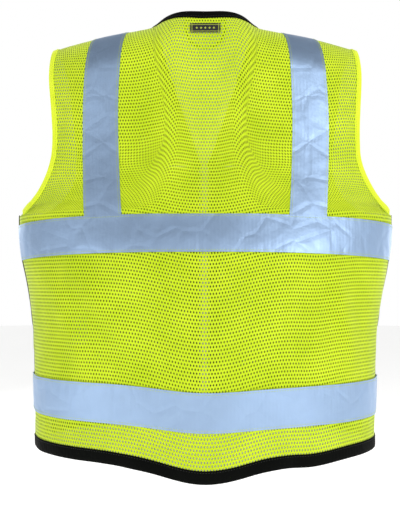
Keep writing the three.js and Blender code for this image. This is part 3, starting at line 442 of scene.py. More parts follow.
def thickened(made, thickness):
    """The piece with cloth thickness, as its final mesh."""
    wall = made.modifiers.new("thickness", "SOLIDIFY")
    wall.thickness = thickness
    wall.offset = 0
    bpy.context.view_layer.update()
    shown = made.evaluated_get(bpy.context.evaluated_depsgraph_get())
    mesh = bpy.data.meshes.new_from_object(shown)
    mesh.name = made.name
    made.modifiers.clear()
    made.data = mesh
    mesh.shade_smooth()
    mesh.set_sharp_from_angle(angle=math.radians(40))
    return made


def sheet_of(name, columns, rows, where, thickness, finish, outwards=None, closed=False):
    """A sheet of cloth over where(s, t), with its UV map in metres of flat cloth."""
    bm = bmesh.new()
    bmesh.ops.create_grid(bm, x_segments=columns, y_segments=rows, size=0.5)
    spots = {}
    for vert in bm.verts:
        spots[round((vert.co.x + 0.5) * columns), round((vert.co.y + 0.5) * rows)] = vert
    for (i, j), vert in spots.items():
        vert.co = where(i / columns, j / rows)
    flat = {}
    middle = columns // 2
    for j in range(rows + 1):
        flat[middle, j] = 0.0
        for i in range(middle + 1, columns + 1):
            flat[i, j] = flat[i - 1, j] + (spots[i, j].co - spots[i - 1, j].co).length
        for i in range(middle - 1, -1, -1):
            flat[i, j] = flat[i + 1, j] - (spots[i, j].co - spots[i + 1, j].co).length
    up = {}
    for i in range(columns + 1):
        up[i, 0] = 0.0
        for j in range(1, rows + 1):
            up[i, j] = up[i, j - 1] + (spots[i, j].co - spots[i, j - 1].co).length
    place_of = {vert.index: key for key, vert in spots.items()}
    layer = bm.loops.layers.uv.new("UVMap")
    for face in bm.faces:
        for loop in face.loops:
            key = place_of[loop.vert.index]
            loop[layer].uv = (flat[key], up[key])
    bm.normal_update()
    first = next(iter(spots[0, rows // 2].link_faces))
    centre = first.calc_center_median()
    out = outwards or centre - Vector((0.6 * centre.x, 0, centre.z - 0.15))
    if first.normal.dot(out) < 0:
        bmesh.ops.reverse_faces(bm, faces=bm.faces)
    if closed:
        bmesh.ops.remove_doubles(bm, verts=bm.verts, dist=0.00001)
    made = as_object(name, bm, finish)
    return thickened(made, thickness) if thickness else made


def cut_of(made):
    """Width, length and area of a piece's flat cloth, from its UV map in metres."""
    mesh = made.data
    points = [Vector(corner.uv) for corner in mesh.uv_layers["UVMap"].data]
    width = max(p.x for p in points) - min(p.x for p in points)
    length = max(p.y for p in points) - min(p.y for p in points)
    area = 0.0
    for face in mesh.polygons:
        ring = [points[i] for i in face.loop_indices]
        area += abs(sum(a.cross(b) for a, b in zip(ring, ring[1:] + ring[:1]))) / 2
    return (width, length), min(area / 2, width * length)


def fit(made, carrier, slot, nodes=(), held=None):
    """Carries a piece with its body, or leaves it where it was built when given a joint's carrier, and hides
    the frame's parts that it stands for.
    """
    if isinstance(carrier, str):
        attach(made, carrier)
    else:
        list(carrier)
        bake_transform(made)
    if nodes:
        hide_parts(*nodes)
    if held:
        flat, area = cut_of(made)
    return made


def yoke_of(word):
    """Carrier for the shoulder cloth in front, from the shoulder to the swinging front; the piece is left
    where it was built.
    """
    return ("torso", f"front_{word}", (0, 0, -0.035), (0, 0, -VEE_DROP))


def front_of(word):
    """Carrier for the front cloth beside the side seam and past it; the piece is left where it was built."""
    return ("torso", f"front_{word}", (0, 0, 0), (0, -0.03, 0))


def evenly(path, step):
    """Points a fixed step apart along a dense path."""
    lengths = [0.0]
    for a, b in zip(path, path[1:]):
        lengths.append(lengths[-1] + (b - a).length)
    count = max(2, round(lengths[-1] / step))
    points, i = [], 0
    for k in range(count + 1):
        goal = lengths[-1] * k / count
        while i < len(path) - 2 and lengths[i + 1] < goal:
            i += 1
        span = lengths[i + 1] - lengths[i]
        points.append(path[i].lerp(path[i + 1], clamp((goal - lengths[i]) / span, 0, 1)))
    return points


THREAD_SLOTS = {"lime_thread": "lime_binding", "black_thread": "black_binding"}


def stitch(name, lines, carrier, finish):
    """Raised stitches along lines of points, as one piece of thread."""
    bm = bmesh.new()
    for line in lines:
        spots = evenly(line, STITCH_PITCH)
        for a, b in zip(spots, spots[1:]):
            end = a.lerp(b, STITCH_SHARE)
            size = Matrix.Diagonal(((end - a).length / 2, THREAD_RADIUS, THREAD_RADIUS, 1))
            turn = (b - a).to_track_quat("X", "Z").to_matrix().to_4x4()
            place = Matrix.Translation((a + end) / 2) @ turn @ size
            bmesh.ops.create_icosphere(bm, subdivisions=1, radius=1, matrix=place)
    return fit(as_object(name, bm, finish, 80), carrier, THREAD_SLOTS[finish])


def line_of(where, s_range, t_range, steps=120):
    """Points along a straight line of a sheet's own coordinates."""
    return [where(lerp(*s_range, i / steps), lerp(*t_range, i / steps)) for i in range(steps + 1)]


# ---- Netting ----


def back_neck_point(share):
    """Half of the neck edge at the back, from the middle to the shoulder."""
    x = NECK_HALF_WIDTH * math.sin(share * HALF_PI)
    y = NECK_EDGE_DEPTH * math.cos(share * HALF_PI)
    p = down(1, x, 0)
    for _ in range(12):
        full = depth_on(1, p.z) * math.sqrt(1 - (x / half_width(p.z)) ** 2)
        p = down(1, x, SHOULDER_ROUND * math.asin(min(0.995, y / full)))
    return p


def under_neck_binding(share):
    """The neck edge moved down into the cloth."""
    p = back_neck_point(share)
    run = back_neck_point(min(1, share + 0.02)) - back_neck_point(max(0, share - 0.02))
    aside = run.normalized().cross(normal_at(p)).normalized()
    if aside.z > 0:
        aside.negate()
    return settle(p + aside * CLOTH_INSET)


NECK_SHARE = 0.42
ROWS_BELOW_ARMPIT = 0.55


def upper_back_point(share, height):
    """Half of the upper back: each column runs from the armpit line to the neck or the ridge."""
    start = ARMPIT - CLOTH_INSET
    low = around(1, share * seam_angle(1, start), start)
    edge_top = armhole_x(1, 0, CLOTH_INSET)
    if share <= NECK_SHARE:
        high = under_neck_binding(share / NECK_SHARE)
        high_x, high_way = high.x, max(way_down(high), 0)
    else:
        end = under_neck_binding(1)
        high_x = lerp(end.x, edge_top, (share - NECK_SHARE) / (1 - NECK_SHARE))
        high_way = 0
    way = lerp(way_down(low), high_way, height)
    low_edge = half_width(start) * math.sin(seam_angle(1, start))
    edge_way = lerp(way_down(around(1, HALF_PI, start)), 0, height)
    pull = height
    for _ in range(8):
        z = down(1, lerp(low_edge, edge_top, pull), edge_way).z
        pull = (low_edge - armhole_x(1, z, CLOTH_INSET)) / (low_edge - edge_top)
    return down(1, lerp(low.x, high_x, pull), way)


def back_netting_at(s, t):
    c = 2 * s - 1
    if t <= ROWS_BELOW_ARMPIT:
        bottom = hem_at(c * HALF_PI) + CLOTH_INSET
        z = lerp(bottom, ARMPIT - CLOTH_INSET, t / ROWS_BELOW_ARMPIT)
        return laid(around(1, c * seam_angle(1, z), z), NETTING_HEIGHT)
    p = upper_back_point(abs(c), (t - ROWS_BELOW_ARMPIT) / (1 - ROWS_BELOW_ARMPIT))
    p.x = math.copysign(p.x, c)
    return laid(p, NETTING_HEIGHT)


def front_point(share, z, inner):
    """Front cloth at a height, from its inner edge to the armhole or the side seam."""
    open_side = z > ARMPIT - CLOTH_INSET
    seam = half_width(z) * math.sin(seam_angle(-1, z))
    outer = armhole_x(-1, z, CLOTH_INSET) if open_side else seam
    start = math.asin(inner / half_width(z))
    end = math.asin(min(1, outer / half_width(z)))
    return around(-1, lerp(start, end, share), z)


def handed(p, hand):
    return Vector((p.x * hand, p.y, p.z))


def shoulder_netting_at(hand, s, t):
    p = down(-1, vee_x(0, CLOTH_INSET), 0)
    for _ in range(6):
        end = way_down(across(-1, p.x, -VEE_DROP))
        cut = armhole_x(-1, p.z, CLOTH_INSET)
        outer = lerp(armhole_x(1, 0, CLOTH_INSET), cut, min(1, 3 * t))
        p = down(-1, lerp(vee_x(p.z, CLOTH_INSET), outer, s), lerp(0, end, t))
    return laid(handed(p, hand), NETTING_HEIGHT)


FRONT_ROWS_BELOW_ARMPIT = 0.76


def front_netting_at(hand, s, t):
    armpit = ARMPIT - CLOTH_INSET
    if t <= FRONT_ROWS_BELOW_ARMPIT:
        z = lerp(hem_at(s * HALF_PI) + CLOTH_INSET, armpit, t / FRONT_ROWS_BELOW_ARMPIT)
    else:
        z = lerp(armpit, -VEE_DROP, (t - FRONT_ROWS_BELOW_ARMPIT) / (1 - FRONT_ROWS_BELOW_ARMPIT))
    return laid(handed(front_point(s, z, FRONT_INNER), hand), NETTING_HEIGHT)


def make_netting():
    back = sheet_of("netting_back", 132, 150, back_netting_at, NETTING_THICKNESS, "netting")
    fit(back, "torso", "lime_netting", ["back_panel"], "hung")
    for word, hand in SIDES:
        for part, columns, rows, at, carrier, above in (
            ("shoulder", 36, 44, shoulder_netting_at, yoke_of(word), "netting_back"),
            ("front", 60, 96, front_netting_at, front_of(word), f"netting_shoulder_{word}"),
        ):
            where = partial(at, hand)
            made = sheet_of(f"netting_{part}_{word}", columns, rows, where, NETTING_THICKNESS, "netting")
            fit(made, carrier, "lime_netting", [f"{part}_panel_{word}"], "hung")


# ---- Reflective tapes ----

CRINKLE = 0.3 * MM
YOKE_LEVEL_SHARE = 1 / 3  # the yoke's tape levels off over this share, to meet the front's


def tape_laid(base, height):
    """Tape is stiffer than netting, and creases in short sharp lines."""
    x, y, z = base
    crinkle = noise.noise(Vector((x * 60 + z * 25, y * 60, z * 70)))
    return laid(base, height + CRINKLE * crinkle)


def chest_tape_at(s, t, lift=0):
    z = lerp(CHEST_TAPE_BOTTOM, CHEST_TAPE_TOP, t)
    reach = HALF_PI - (SIDE_BINDING_WIDTH + 0.004) / (back_depth(z) * (1 + SECTION_SQUARENESS))
    angle = (2 * s - 1) * reach
    return tape_laid(around(1, angle, z - tape_sag(angle)), OVER_TAPE_HEIGHT + lift)


def waist_tape_at(s, t, lift=0):
    angle = (2 * s - 1) * seam_angle(1, WAIST_TAPE_BOTTOM)
    z = WAIST_TAPE_BOTTOM + t * TAPE_WIDTH + tape_rise(angle)
    from_seam = (HALF_PI - abs(angle)) * back_depth(z)
    over = smooth((SIDE_BINDING_WIDTH + 0.008 - from_seam) / 0.008) * 1.4 * MM
    return tape_laid(around(1, angle, z), OVER_TAPE_HEIGHT + over + lift)


def front_tape_at(hand, bottom, s, t, lift=0):
    angle = s * HALF_PI
    moved = tape_rise(hand * angle) if bottom < WAIST else -tape_sag(angle)
    z = bottom + t * TAPE_WIDTH + moved
    base = handed(front_point(s, z, FRONT_INNER), hand)
    return tape_laid(base, OVER_TAPE_HEIGHT + lift)


def tape_centre(way, longest):
    return SHOULDER_TAPE_CENTRE + SHOULDER_TAPE_BOW * math.sin(math.pi * clamp(way / longest, 0, 1))


def shoulder_tape_at(hand, side, s, t, lift=0):
    """The vertical tape from the ridge down the back or down the front yoke."""
    level = CHEST_TAPE_TOP - TAPE_TUCK if side > 0 else -VEE_DROP
    longest = way_down(across(side, SHOULDER_TAPE_CENTRE, level))
    way = (1 - t) * longest
    centre = tape_centre(way, longest) if side > 0 else SHOULDER_TAPE_CENTRE
    base = down(side, centre + (s - 0.5) * TAPE_WIDTH, way)
    if side < 0 and t < YOKE_LEVEL_SHARE:
        base = across(side, base.x, lerp(-VEE_DROP, base.z, smooth(t / YOKE_LEVEL_SHARE)))
    return tape_laid(handed(base, hand), UNDER_TAPE_HEIGHT + lift)


def front_vertical_tape_at(hand, s, t, lift=0):
    z = lerp(CHEST_TAPE_TOP - TAPE_TUCK, -VEE_DROP, t)
    base = across(-1, SHOULDER_TAPE_CENTRE + (s - 0.5) * TAPE_WIDTH, z)
    return tape_laid(handed(base, hand), UNDER_TAPE_HEIGHT + lift)


TAPE_STITCH_EDGE = 0.055  # stitch row from the tape's edge, as a share of its width
STITCH_LIFT = 0.35 * MM


def tape_piece(name, columns, rows, where, carrier, stands_for, on, along_s=True):
    made = sheet_of(name, columns, rows, where, TAPE_THICKNESS, "reflective")
    fit(made, carrier, "reflective_tape", [stands_for], "laid")
    shares = (TAPE_STITCH_EDGE, 1 - TAPE_STITCH_EDGE)

    def raised(s, t):
        return where(s, t, STITCH_LIFT)

    if along_s:
        lines = [line_of(raised, (0.004, 0.996), (e, e), 160) for e in shares]
    else:
        lines = [line_of(raised, (e, e), (0.01, 0.99), 80) for e in shares]
    stitch(f"thread_{name}", lines, carrier, "lime_thread")


def make_tapes():
    for part, at in (("chest", chest_tape_at), ("waist", waist_tape_at)):
        tape_piece(f"tape_{part}_back", 150, 10, at, "torso", f"{part}_tape_back", "netting_back")
    for word, hand in SIDES:
        front = front_of(word)
        over, under = f"shoulder_tape_{word}", f"vertical_tape_front_{word}"
        yoke_net, front_net = f"netting_shoulder_{word}", f"netting_front_{word}"
        for name, rows, at, carrier, stands_for, on in (
            (f"shoulder_{word}_back", 64, partial(shoulder_tape_at, hand, 1), "torso", over, "netting_back"),
            (f"shoulder_{word}_yoke", 48, partial(shoulder_tape_at, hand, -1), yoke_of(word), over, yoke_net),
            (f"vertical_{word}_front", 26, partial(front_vertical_tape_at, hand), front, under, front_net),
        ):
            tape_piece(f"tape_{name}", 10, rows, at, carrier, stands_for, on, False)
        for part, bottom in (("chest", CHEST_TAPE_BOTTOM), ("waist", WAIST_TAPE_BOTTOM)):
            at = partial(front_tape_at, hand, bottom)
            stands_for = f"{part}_tape_front_{word}"
            tape_piece(f"tape_{part}_{word}_front", 70, 10, at, front, stands_for, front_net)


# ---- Bindings ----

# The folded strip's section: share of its width in from the edge, and height.
FOLDED = (
    (1.0, 1.15 * MM),
    (0.9, 1.6 * MM),
    (0.6, 1.8 * MM),
    (0.25, 1.85 * MM),
    (0.05, 1.6 * MM),
    (-0.06, 0.5 * MM),
    (0.05, -0.45 * MM),
    (0.25, -0.7 * MM),
    (0.6, -0.7 * MM),
    (1.0, -0.55 * MM),
)
BINDING_STEP = 4 * MM
SIDE_WRAP = 0.004  # how far the side binding reaches round to the front
SIDE_CROWN = 0.5 * MM
SIDE_BULGE = 0.007
SIDE_BULGES = ((-0.438, 0.014), (CHEST_TAPE_BOTTOM, 0.045))  # heights where it widens, and reach


def folded_strip(name, path, width, inwards, finish, carrier, stands_for, on):
    """A binding folded over an edge that runs along a path on the form."""
    points = evenly(path, BINDING_STEP)
    last = len(points) - 1
    rows = []
    for i, p in enumerate(points):
        run = points[min(i + 1, last)] - points[max(i - 1, 0)]
        aside = normal_at(p).cross(run.normalized()).normalized() * inwards
        wavy = 1 + 0.05 * noise.noise(p * 70)
        rows.append([laid(settle(p + aside * share * width * wavy), h) for share, h in FOLDED])
    columns = len(FOLDED) - 1
    made = sheet_of(
        name,
        columns,
        last,
        lambda s, t: rows[round(t * last)][round(s * columns)],
        BINDING_THICKNESS,
        finish,
        normal_at(points[last // 2]),
    )
    fit(made, carrier, finish, [stands_for], "folded")
    line = [laid(settle(p + (rows[i][0] - p) * 0.8), 2.2 * MM) for i, p in enumerate(points)]
    stitch(f"thread_{name}", [line], carrier, finish.replace("binding", "thread"))


def neck_paths():
    """The V edge of one side, bottom first, and the back edge from left to right."""
    bottom = way_down(across(-1, vee_x(-VEE_DROP, 0), -VEE_DROP))
    vee = []
    for k in range(41):
        p = down(-1, NECK_HALF_WIDTH, 0)
        for _ in range(8):
            p = down(-1, vee_x(min(0, p.z), 0), bottom * k / 40)
        vee.append(p)
    half = [back_neck_point(k / 30) for k in range(31)]
    back = half[::-1] + [handed(p, -1) for p in half[1:]]
    return vee[::-1], back


def armhole_paths():
    """The armhole edge up the back, down the yoke, and down the front."""
    back = []
    for k in range(61):
        way = lerp(way_down(around(1, HALF_PI, ARMPIT)), 0, math.sin(k / 60 * HALF_PI))
        p = down(1, ARMHOLE_HALF_WIDTH, way)
        for _ in range(12):
            p = down(1, armhole_x(1, p.z, 0), way)
        back.append(p)
    end = way_down(across(-1, armhole_x(-1, -VEE_DROP, 0), -VEE_DROP))
    yoke = []
    for k in range(41):
        p = down(-1, ARMHOLE_HALF_WIDTH, end * k / 40)
        for _ in range(8):
            cut = armhole_x(-1, p.z, 0)
            p = down(-1, lerp(ARMHOLE_HALF_WIDTH, cut, min(1, 3 * k / 40)), end * k / 40)
        yoke.append(p)
    front = []
    for k in range(41):
        z = lerp(-VEE_DROP, ARMPIT, math.sin(k / 40 * HALF_PI))
        x = min(armhole_x(-1, z, 0), half_width(z) * math.sin(seam_angle(-1, z)))
        front.append(across(-1, x, z))
    return back, yoke, front


def hem_strip(name, side, start, end, carrier, nodes):
    """The hem's binding between two angles round the section."""
    columns = len(FOLDED) - 1
    last = 150 if side > 0 else 76

    def where(s, t):
        share, height = FOLDED[round(s * columns)]
        angle = lerp(start, end, t)
        z = hem_at(angle) + share * HEM_BINDING_HEIGHT
        limit = seam_angle(side, z)
        return laid(around(side, clamp(angle, -limit, limit), z), height)

    out = normal_at(around(side, lerp(start, end, 0.5), hem_at(0)))
    made = sheet_of(name, columns, last, where, BINDING_THICKNESS, "black_binding", out)
    fit(made, carrier, "black_binding", nodes, "folded")

    def line_at(t):
        angle = clamp(lerp(start, end, t), -seam_angle(side, HEM), seam_angle(side, HEM))
        return laid(around(side, angle, hem_at(angle) + 0.85 * HEM_BINDING_HEIGHT), 2.1 * MM)

    stitch(f"thread_{name}", [[line_at(k / 200) for k in range(201)]], carrier, "black_thread")


def side_strip(word, hand):
    """The black binding up a side seam, which wraps a little round to the front."""
    rows = 90

    def where(s, t):
        z = lerp(hem_at(HALF_PI) + HEM_BINDING_HEIGHT - 0.001, ARMPIT - 0.002, t)
        wide = SIDE_BINDING_WIDTH
        for height, reach in SIDE_BULGES:
            wide += SIDE_BULGE * math.exp(-(((z - height) / reach) ** 2))
        from_seam = lerp(-wide, SIDE_WRAP, s)
        side = 1 if from_seam < 0 else -1
        angle = HALF_PI - abs(from_seam) / (depth_on(side, z) * (1 + SECTION_SQUARENESS))
        base = handed(around(side, angle, z), hand)
        crown = SIDE_CROWN * (1 - (2 * s - 1) ** 4)
        return laid(base, SIDE_BINDING_LAYER - SIDE_CROWN + crown)

    made = sheet_of(
        f"binding_side_{word}", 10, rows, where, BINDING_THICKNESS, "black_binding", Vector((hand, 0, 0))
    )
    fit(made, "torso", "black_binding", [f"side_binding_{word}"], "laid")


def make_bindings():
    vee, back_neck = neck_paths()
    back_arm, yoke_arm, front_arm = armhole_paths()
    neck, arm = NECK_BINDING_WIDTH, ARMHOLE_BINDING_WIDTH
    lime, black = "lime_binding", "black_binding"
    folded_strip("binding_neck_back", back_neck, neck, -1, black, "torso", "neck_binding", "netting_back")
    hem_strip("binding_hem_back", 1, -HALF_PI, HALF_PI, "torso", ["hem_binding_back"])
    inner = math.asin(FRONT_INNER / half_width(HEM))
    for word, hand in SIDES:
        yoke, front = yoke_of(word), front_of(word)
        yoke_net, front_net = f"netting_shoulder_{word}", f"netting_front_{word}"
        behind, before = f"armhole_binding_{word}", f"armhole_binding_front_{word}"
        for name, path, width, finish, carrier, stands_for, on in (
            (f"neck_{word}", vee, neck, black, yoke, "neck_binding", yoke_net),
            (f"armhole_{word}_back", back_arm, arm, lime, "torso", behind, "netting_back"),
            (f"armhole_{word}_yoke", yoke_arm, arm, lime, yoke, behind, yoke_net),
            (f"armhole_{word}_front", front_arm, arm, lime, front, before, front_net),
        ):
            path = [handed(p, hand) for p in path]
            folded_strip(f"binding_{name}", path, width, -hand, finish, carrier, stands_for, on)
        nodes = [f"hem_binding_front_{word}"]
        hem_strip(f"binding_hem_{word}", -1, hand * inner, hand * HALF_PI, front, nodes)
        side_strip(word, hand)


# ---- Pockets ----


def frame_on(point):
    """A flat working frame on the cloth: across, up the cloth, and outwards."""
    n = normal_at(point)
    u = Vector((0, 0, 1)).cross(n).normalized()
    v = n.cross(u).normalized()
    return Matrix((u, v, n)).transposed().to_4x4(), point


def in_frame(place, u, v, n):
    turn, point = place
    return turn @ Vector((u, v, n)) + point


def ground(place, u, v):
    """Height of the cloth over the working frame's plane."""
    low, high = -0.06, 0.03
    for _ in range(18):
        middle = (low + high) / 2
        if outside(*in_frame(place, u, v, middle)) > 0:
            high = middle
        else:
            low = middle
    base = in_frame(place, u, v, high)
    return high + fold(base) + NETTING_HEIGHT


POCKET_CORNER = 0.014
FACE_CROWN = 0.0025
FACE_SIDE_ROLL = 0.0028
FACE_FOOT_ROLL = 0.003
FACE_WRINKLE = 0.0009
PLEAT_SHARE = 0.35
SHALLOW_PLEAT = 0.3  # a shallow pocket's pleat, as a share of a deep one's
FLAP_BEND = 0.006
FLAP_CORNER = 0.012
FLAP_DROOP = 0.001
FLAP_STEPS = 40


def pocket_half(width, height, v):
    """Half the pocket's width at a height, with round bottom corners."""
    d = clamp(height + v, 0, POCKET_CORNER)
    inset = POCKET_CORNER - math.sqrt(max(0, POCKET_CORNER**2 - (POCKET_CORNER - d) ** 2))
    return width / 2 - inset


def pocket_outline(width, height):
    """Down one side of a pocket, round the bottom and up the other side."""
    half = width / 2
    line = [Vector((-half, -v * (height - POCKET_CORNER) / 12)) for v in range(12)]
    for k in range(9):
        a = k / 8 * HALF_PI
        corner = Vector((-half + POCKET_CORNER, -height + POCKET_CORNER))
        line.append(corner + Vector((-math.cos(a), -math.sin(a))) * POCKET_CORNER)
    right = [Vector((-p.x, p.y)) for p in reversed(line)]
    middle = [Vector((lerp(line[-1].x, right[0].x, k / 12), -height)) for k in range(1, 12)]
    return line + middle + right


def patch(name, place, us, vs, n, carrier, stands_for):
    """A small closure pad with rounded corners in a working frame."""
    corner = 0.003

    def where(s, t):
        v = lerp(*vs, t)
        d = clamp(min(v - vs[0], vs[1] - v), 0, corner)
        inset = corner - math.sqrt(max(0, corner**2 - (corner - d) ** 2))
        u = lerp(us[0] + inset, us[1] - inset, s)
        return in_frame(place, u, v, n)

    out = place[0].to_3x3() @ Vector((0, 0, 1))
    made = sheet_of(name, 16, 10, where, PAD_THICKNESS, "hook_and_loop", out)
    fit(made, carrier, "hook_and_loop", [stands_for])


def patch_pocket(label, word, place, sizes, body, flap_body):
    """A bellows pocket: crowned face, pleated gusset, flap and hook-and-loop closure."""
    width, height, depth, flap_length = sizes
    names = {part: f"{label}_{part}{word}" for part in ("pocket", "loop_pad", "flap", "hook_pad")}
    out = place[0].to_3x3() @ Vector((0, 0, 1))

    def face_at(s, t):
        v = -height * (1 - t)
        half = pocket_half(width, height, v)
        c = 2 * s - 1
        crown = FACE_CROWN * (1 - c * c) * math.sin(math.pi * lerp(0.05, 0.75, t))
        rounded = FACE_SIDE_ROLL * abs(c) ** 7 + FACE_FOOT_ROLL * (1 - t) ** 9
        wrinkle = FACE_WRINKLE * noise.noise(Vector((c * 2.4, v * 34, depth * 90)))
        return in_frame(place, half * c, v, depth - 0.0008 + crown - rounded + wrinkle)

    made = sheet_of(f"cloth_{names['pocket']}_face", 40, 44, face_at, POCKET_CLOTH, "pocket_cloth", out)
    fit(made, body, "lime_cloth", [f"{names['pocket']}_face"], "laid")

    outline = evenly([p.to_3d() for p in pocket_outline(width, height)], 3.5 * MM)
    last = len(outline) - 1
    rooted = [ground(place, p.x, p.y) for p in outline]

    def gusset_at(s, t):
        i = round(t * last)
        p = outline[i]
        run = outline[min(i + 1, last)] - outline[max(i - 1, 0)]
        inward = Vector((-run.y, run.x)).normalized()
        if inward.dot(Vector((p.x, p.y + height / 2))) > 0:
            inward.negate()
        pleat = PLEAT_SHARE * depth * math.sin(math.pi * s) ** 2 * (1 if depth > 0.02 else SHALLOW_PLEAT)
        n = lerp(rooted[i] - 0.0005, depth - 0.0032, s)
        flat = Vector((p.x, p.y)) + inward * (pleat + 0.0006)
        return in_frame(place, flat.x, flat.y, n)

    side_out = place[0].to_3x3() @ Vector((-1, 0, 0))
    made = sheet_of(
        f"cloth_{names['pocket']}_gusset", 12, last, gusset_at, POCKET_CLOTH, "pocket_cloth", side_out
    )
    fit(made, body, "lime_cloth", [f"{names['pocket']}_gusset"], "folded")

    pad_half = width * PAD_WIDTH_SHARE / 2
    low = FLAP_SEAM_HEIGHT - flap_length + 0.002
    us, vs = (-pad_half, pad_half), (low, low + PAD_HEIGHT)
    for part, lift, carrier in (("loop_pad", LOOP_PAD_LIFT, body), ("hook_pad", HOOK_PAD_LIFT, flap_body)):
        patch(f"closure_{names[part]}", place, us, vs, depth + lift, carrier, names[part])

    half = width / 2 + FLAP_MARGIN
    front = depth + FLAP_LIFT
    top = FLAP_SEAM_HEIGHT + 0.0008
    bend = FLAP_BEND

    def flap_line(share, root):
        """Along the flap from its seam: out over the mouth, round the bend and down."""
        lid = front - root - bend
        length = flap_length - bend
        arc = bend * HALF_PI
        at = share * (lid + arc + length)
        if at < lid:
            rise = 0.003 * (1 - at / lid) ** 2
            return top + rise, root + at
        if at < lid + arc:
            a = (at - lid) / bend
            return top - bend * (1 - math.cos(a)), front - bend + bend * math.sin(a)
        return top - bend - (at - lid - arc), front

    roots = [ground(place, lerp(-half, half, k / FLAP_STEPS), top + 0.003) for k in range(FLAP_STEPS + 1)]

    def flap_at(s, t, lift=0):
        share = 1 - t
        v, n = flap_line(share, roots[round(s * FLAP_STEPS)] + 0.0006)
        d = clamp(v - (top - flap_length), 0, FLAP_CORNER)
        inset = (FLAP_CORNER - math.sqrt(max(0, FLAP_CORNER**2 - (FLAP_CORNER - d) ** 2))) * 0.8
        c = 2 * s - 1
        droop = FLAP_DROOP * c * c * share
        return in_frame(place, (half - inset) * c, v, n - droop + lift)

    made = sheet_of(f"cloth_{names['flap']}", FLAP_STEPS, 40, flap_at, POCKET_CLOTH, "pocket_cloth", out)
    seam_inner = in_frame(place, 0, top, 0.004)
    seam_outer = in_frame(place, 0, top, 0.010)
    carrier = (body, flap_body, seam_inner, seam_outer)
    fit(made, carrier, "lime_cloth", [names["flap"]], "folded")
    raised = partial(flap_at, lift=0.6 * MM)
    lines = [line_of(raised, (0.05, 0.95), (0.03, 0.03), 80)]
    lines += [line_of(raised, (edge, edge), (0.03, 0.62), 60) for edge in (0.035, 0.965)]
    stitch(f"thread_{names['flap']}", lines, flap_body, "lime_thread")


def make_cargo_pockets():
    for word, hand in SIDES:
        place = frame_on(around(-1, hand * CARGO_ANGLE, CARGO_POCKET_TOP))
        patch_pocket("cargo", f"_{word}", place, CARGO_POCKET, f"front_{word}", f"cargo_flap_{word}")


def make_radio_pocket():
    place = frame_on(across(-1, CHEST_POCKET_CENTRE, CHEST_POCKET_TOP))
    patch_pocket("radio", "", place, CHEST_POCKET, "front_left", "radio_flap")


def make_pen_pocket():
    width, height, depth, _ = CHEST_POCKET
    place = frame_on(across(-1, -CHEST_POCKET_CENTRE, CHEST_POCKET_TOP))
    out = place[0].to_3x3() @ Vector((0, 0, 1))

    def where(s, t):
        v = -height * (1 - t)
        half = pocket_half(width, height, v)
        c = 2 * s - 1
        channel = abs(math.sin(math.pi * PEN_CHANNELS * s)) ** 0.6
        closing = math.sqrt(smooth(t * height / 0.014))
        n = lerp(0.001, depth - 0.0008, (0.12 + 0.88 * channel) * closing)
        floor = ground(place, half * c, v) if min(s, 1 - s) < 0.02 or t < 0.02 else 0
        return in_frame(place, half * c, v, n + min(0, floor))

    made = sheet_of("cloth_pen_pocket", 60, 40, where, POCKET_CLOTH, "pocket_cloth", out)
    fit(made, "front_right", "lime_cloth", ["pen_pocket"], "laid")
    lines = []
    for k in range(1, PEN_CHANNELS):
        s = k / PEN_CHANNELS
        lines.append([where(s, lerp(0.12, 0.97, j / 60)) + out * 0.8 * MM for j in range(61)])
    lines.append([where(lerp(0.03, 0.97, j / 80), 0.965) + out * 0.8 * MM for j in range(81)])
    stitch("thread_pen_pocket", lines, "front_right", "lime_thread")


# ---- Tabs, loop and labels ----


def make_tabs_and_loop():
    for word, hand in SIDES:
        place = frame_on(across(-1, hand * MIC_TAB_CENTRE, -MIC_TAB_DROP))
        out = place[0].to_3x3() @ Vector((0, 0, 1))

        def where(s, t):
            v = lerp(-1, 1, t) * MIC_TAB_LENGTH / 2
            n = lerp(0.0032, MIC_TAB_TOP, smooth((MIC_TAB_LENGTH / 2 - abs(v)) / 0.012))
            return in_frame(place, lerp(-0.5, 0.5, s) * MIC_TAB_WIDTH, v, n)

        made = sheet_of(f"webbing_mic_tab_{word}", 8, 48, where, 1.7 * MM, "webbing", out)
        fit(made, yoke_of(word), "black_webbing", [f"mic_tab_{word}"], "laid")
        lines = []
        for t in (0.03, 0.12, 0.88, 0.97):
            lines.append([where(lerp(0.1, 0.9, k / 20), t) + out * 1.0 * MM for k in range(21)])
        stitch(f"thread_mic_tab_{word}", lines, yoke_of(word), "black_thread")
    make_hanger_loop()


def make_hanger_loop():
    """A flat woven tape hanging in a loop, a little cupped across its width."""
    low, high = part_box("hanger_loop")
    half = (high.x - low.x) / 2 - 0.002
    drop = high.z - low.z - 0.002
    y = (low.y + high.y) / 2
    path = []
    for k in range(61):
        a = lerp(0, math.pi, k / 60)
        x = half * math.cos(a) * (1 + 0.06 * math.sin(a))
        z = high.z - 0.002 - drop * math.sin(a) ** 0.75
        path.append(Vector((clamp(x, -half, half), y, z)))
    ends = [Vector((lerp(-half, half, k / 20), y, high.z - 0.002)) for k in range(1, 20)]
    ring = path + ends
    count = len(ring)

    def where(s, t):
        i = round(t * count) % count
        p = ring[i]
        run = ring[(i + 1) % count] - ring[(i - 1) % count]
        side = Vector((run.z, 0, -run.x)).normalized()
        a = math.tau * s
        return p + side * 1.7 * MM * math.cos(a) + Vector((0, 1, 0)) * 1.3 * MM * math.sin(a)

    bm_out = Vector((1, 0, 0))
    made = sheet_of("webbing_hanger_loop", 12, count, where, 0, "webbing", bm_out, closed=True)
    fit(made, "hanger_loop", "black_webbing", ["hanger_loop"])


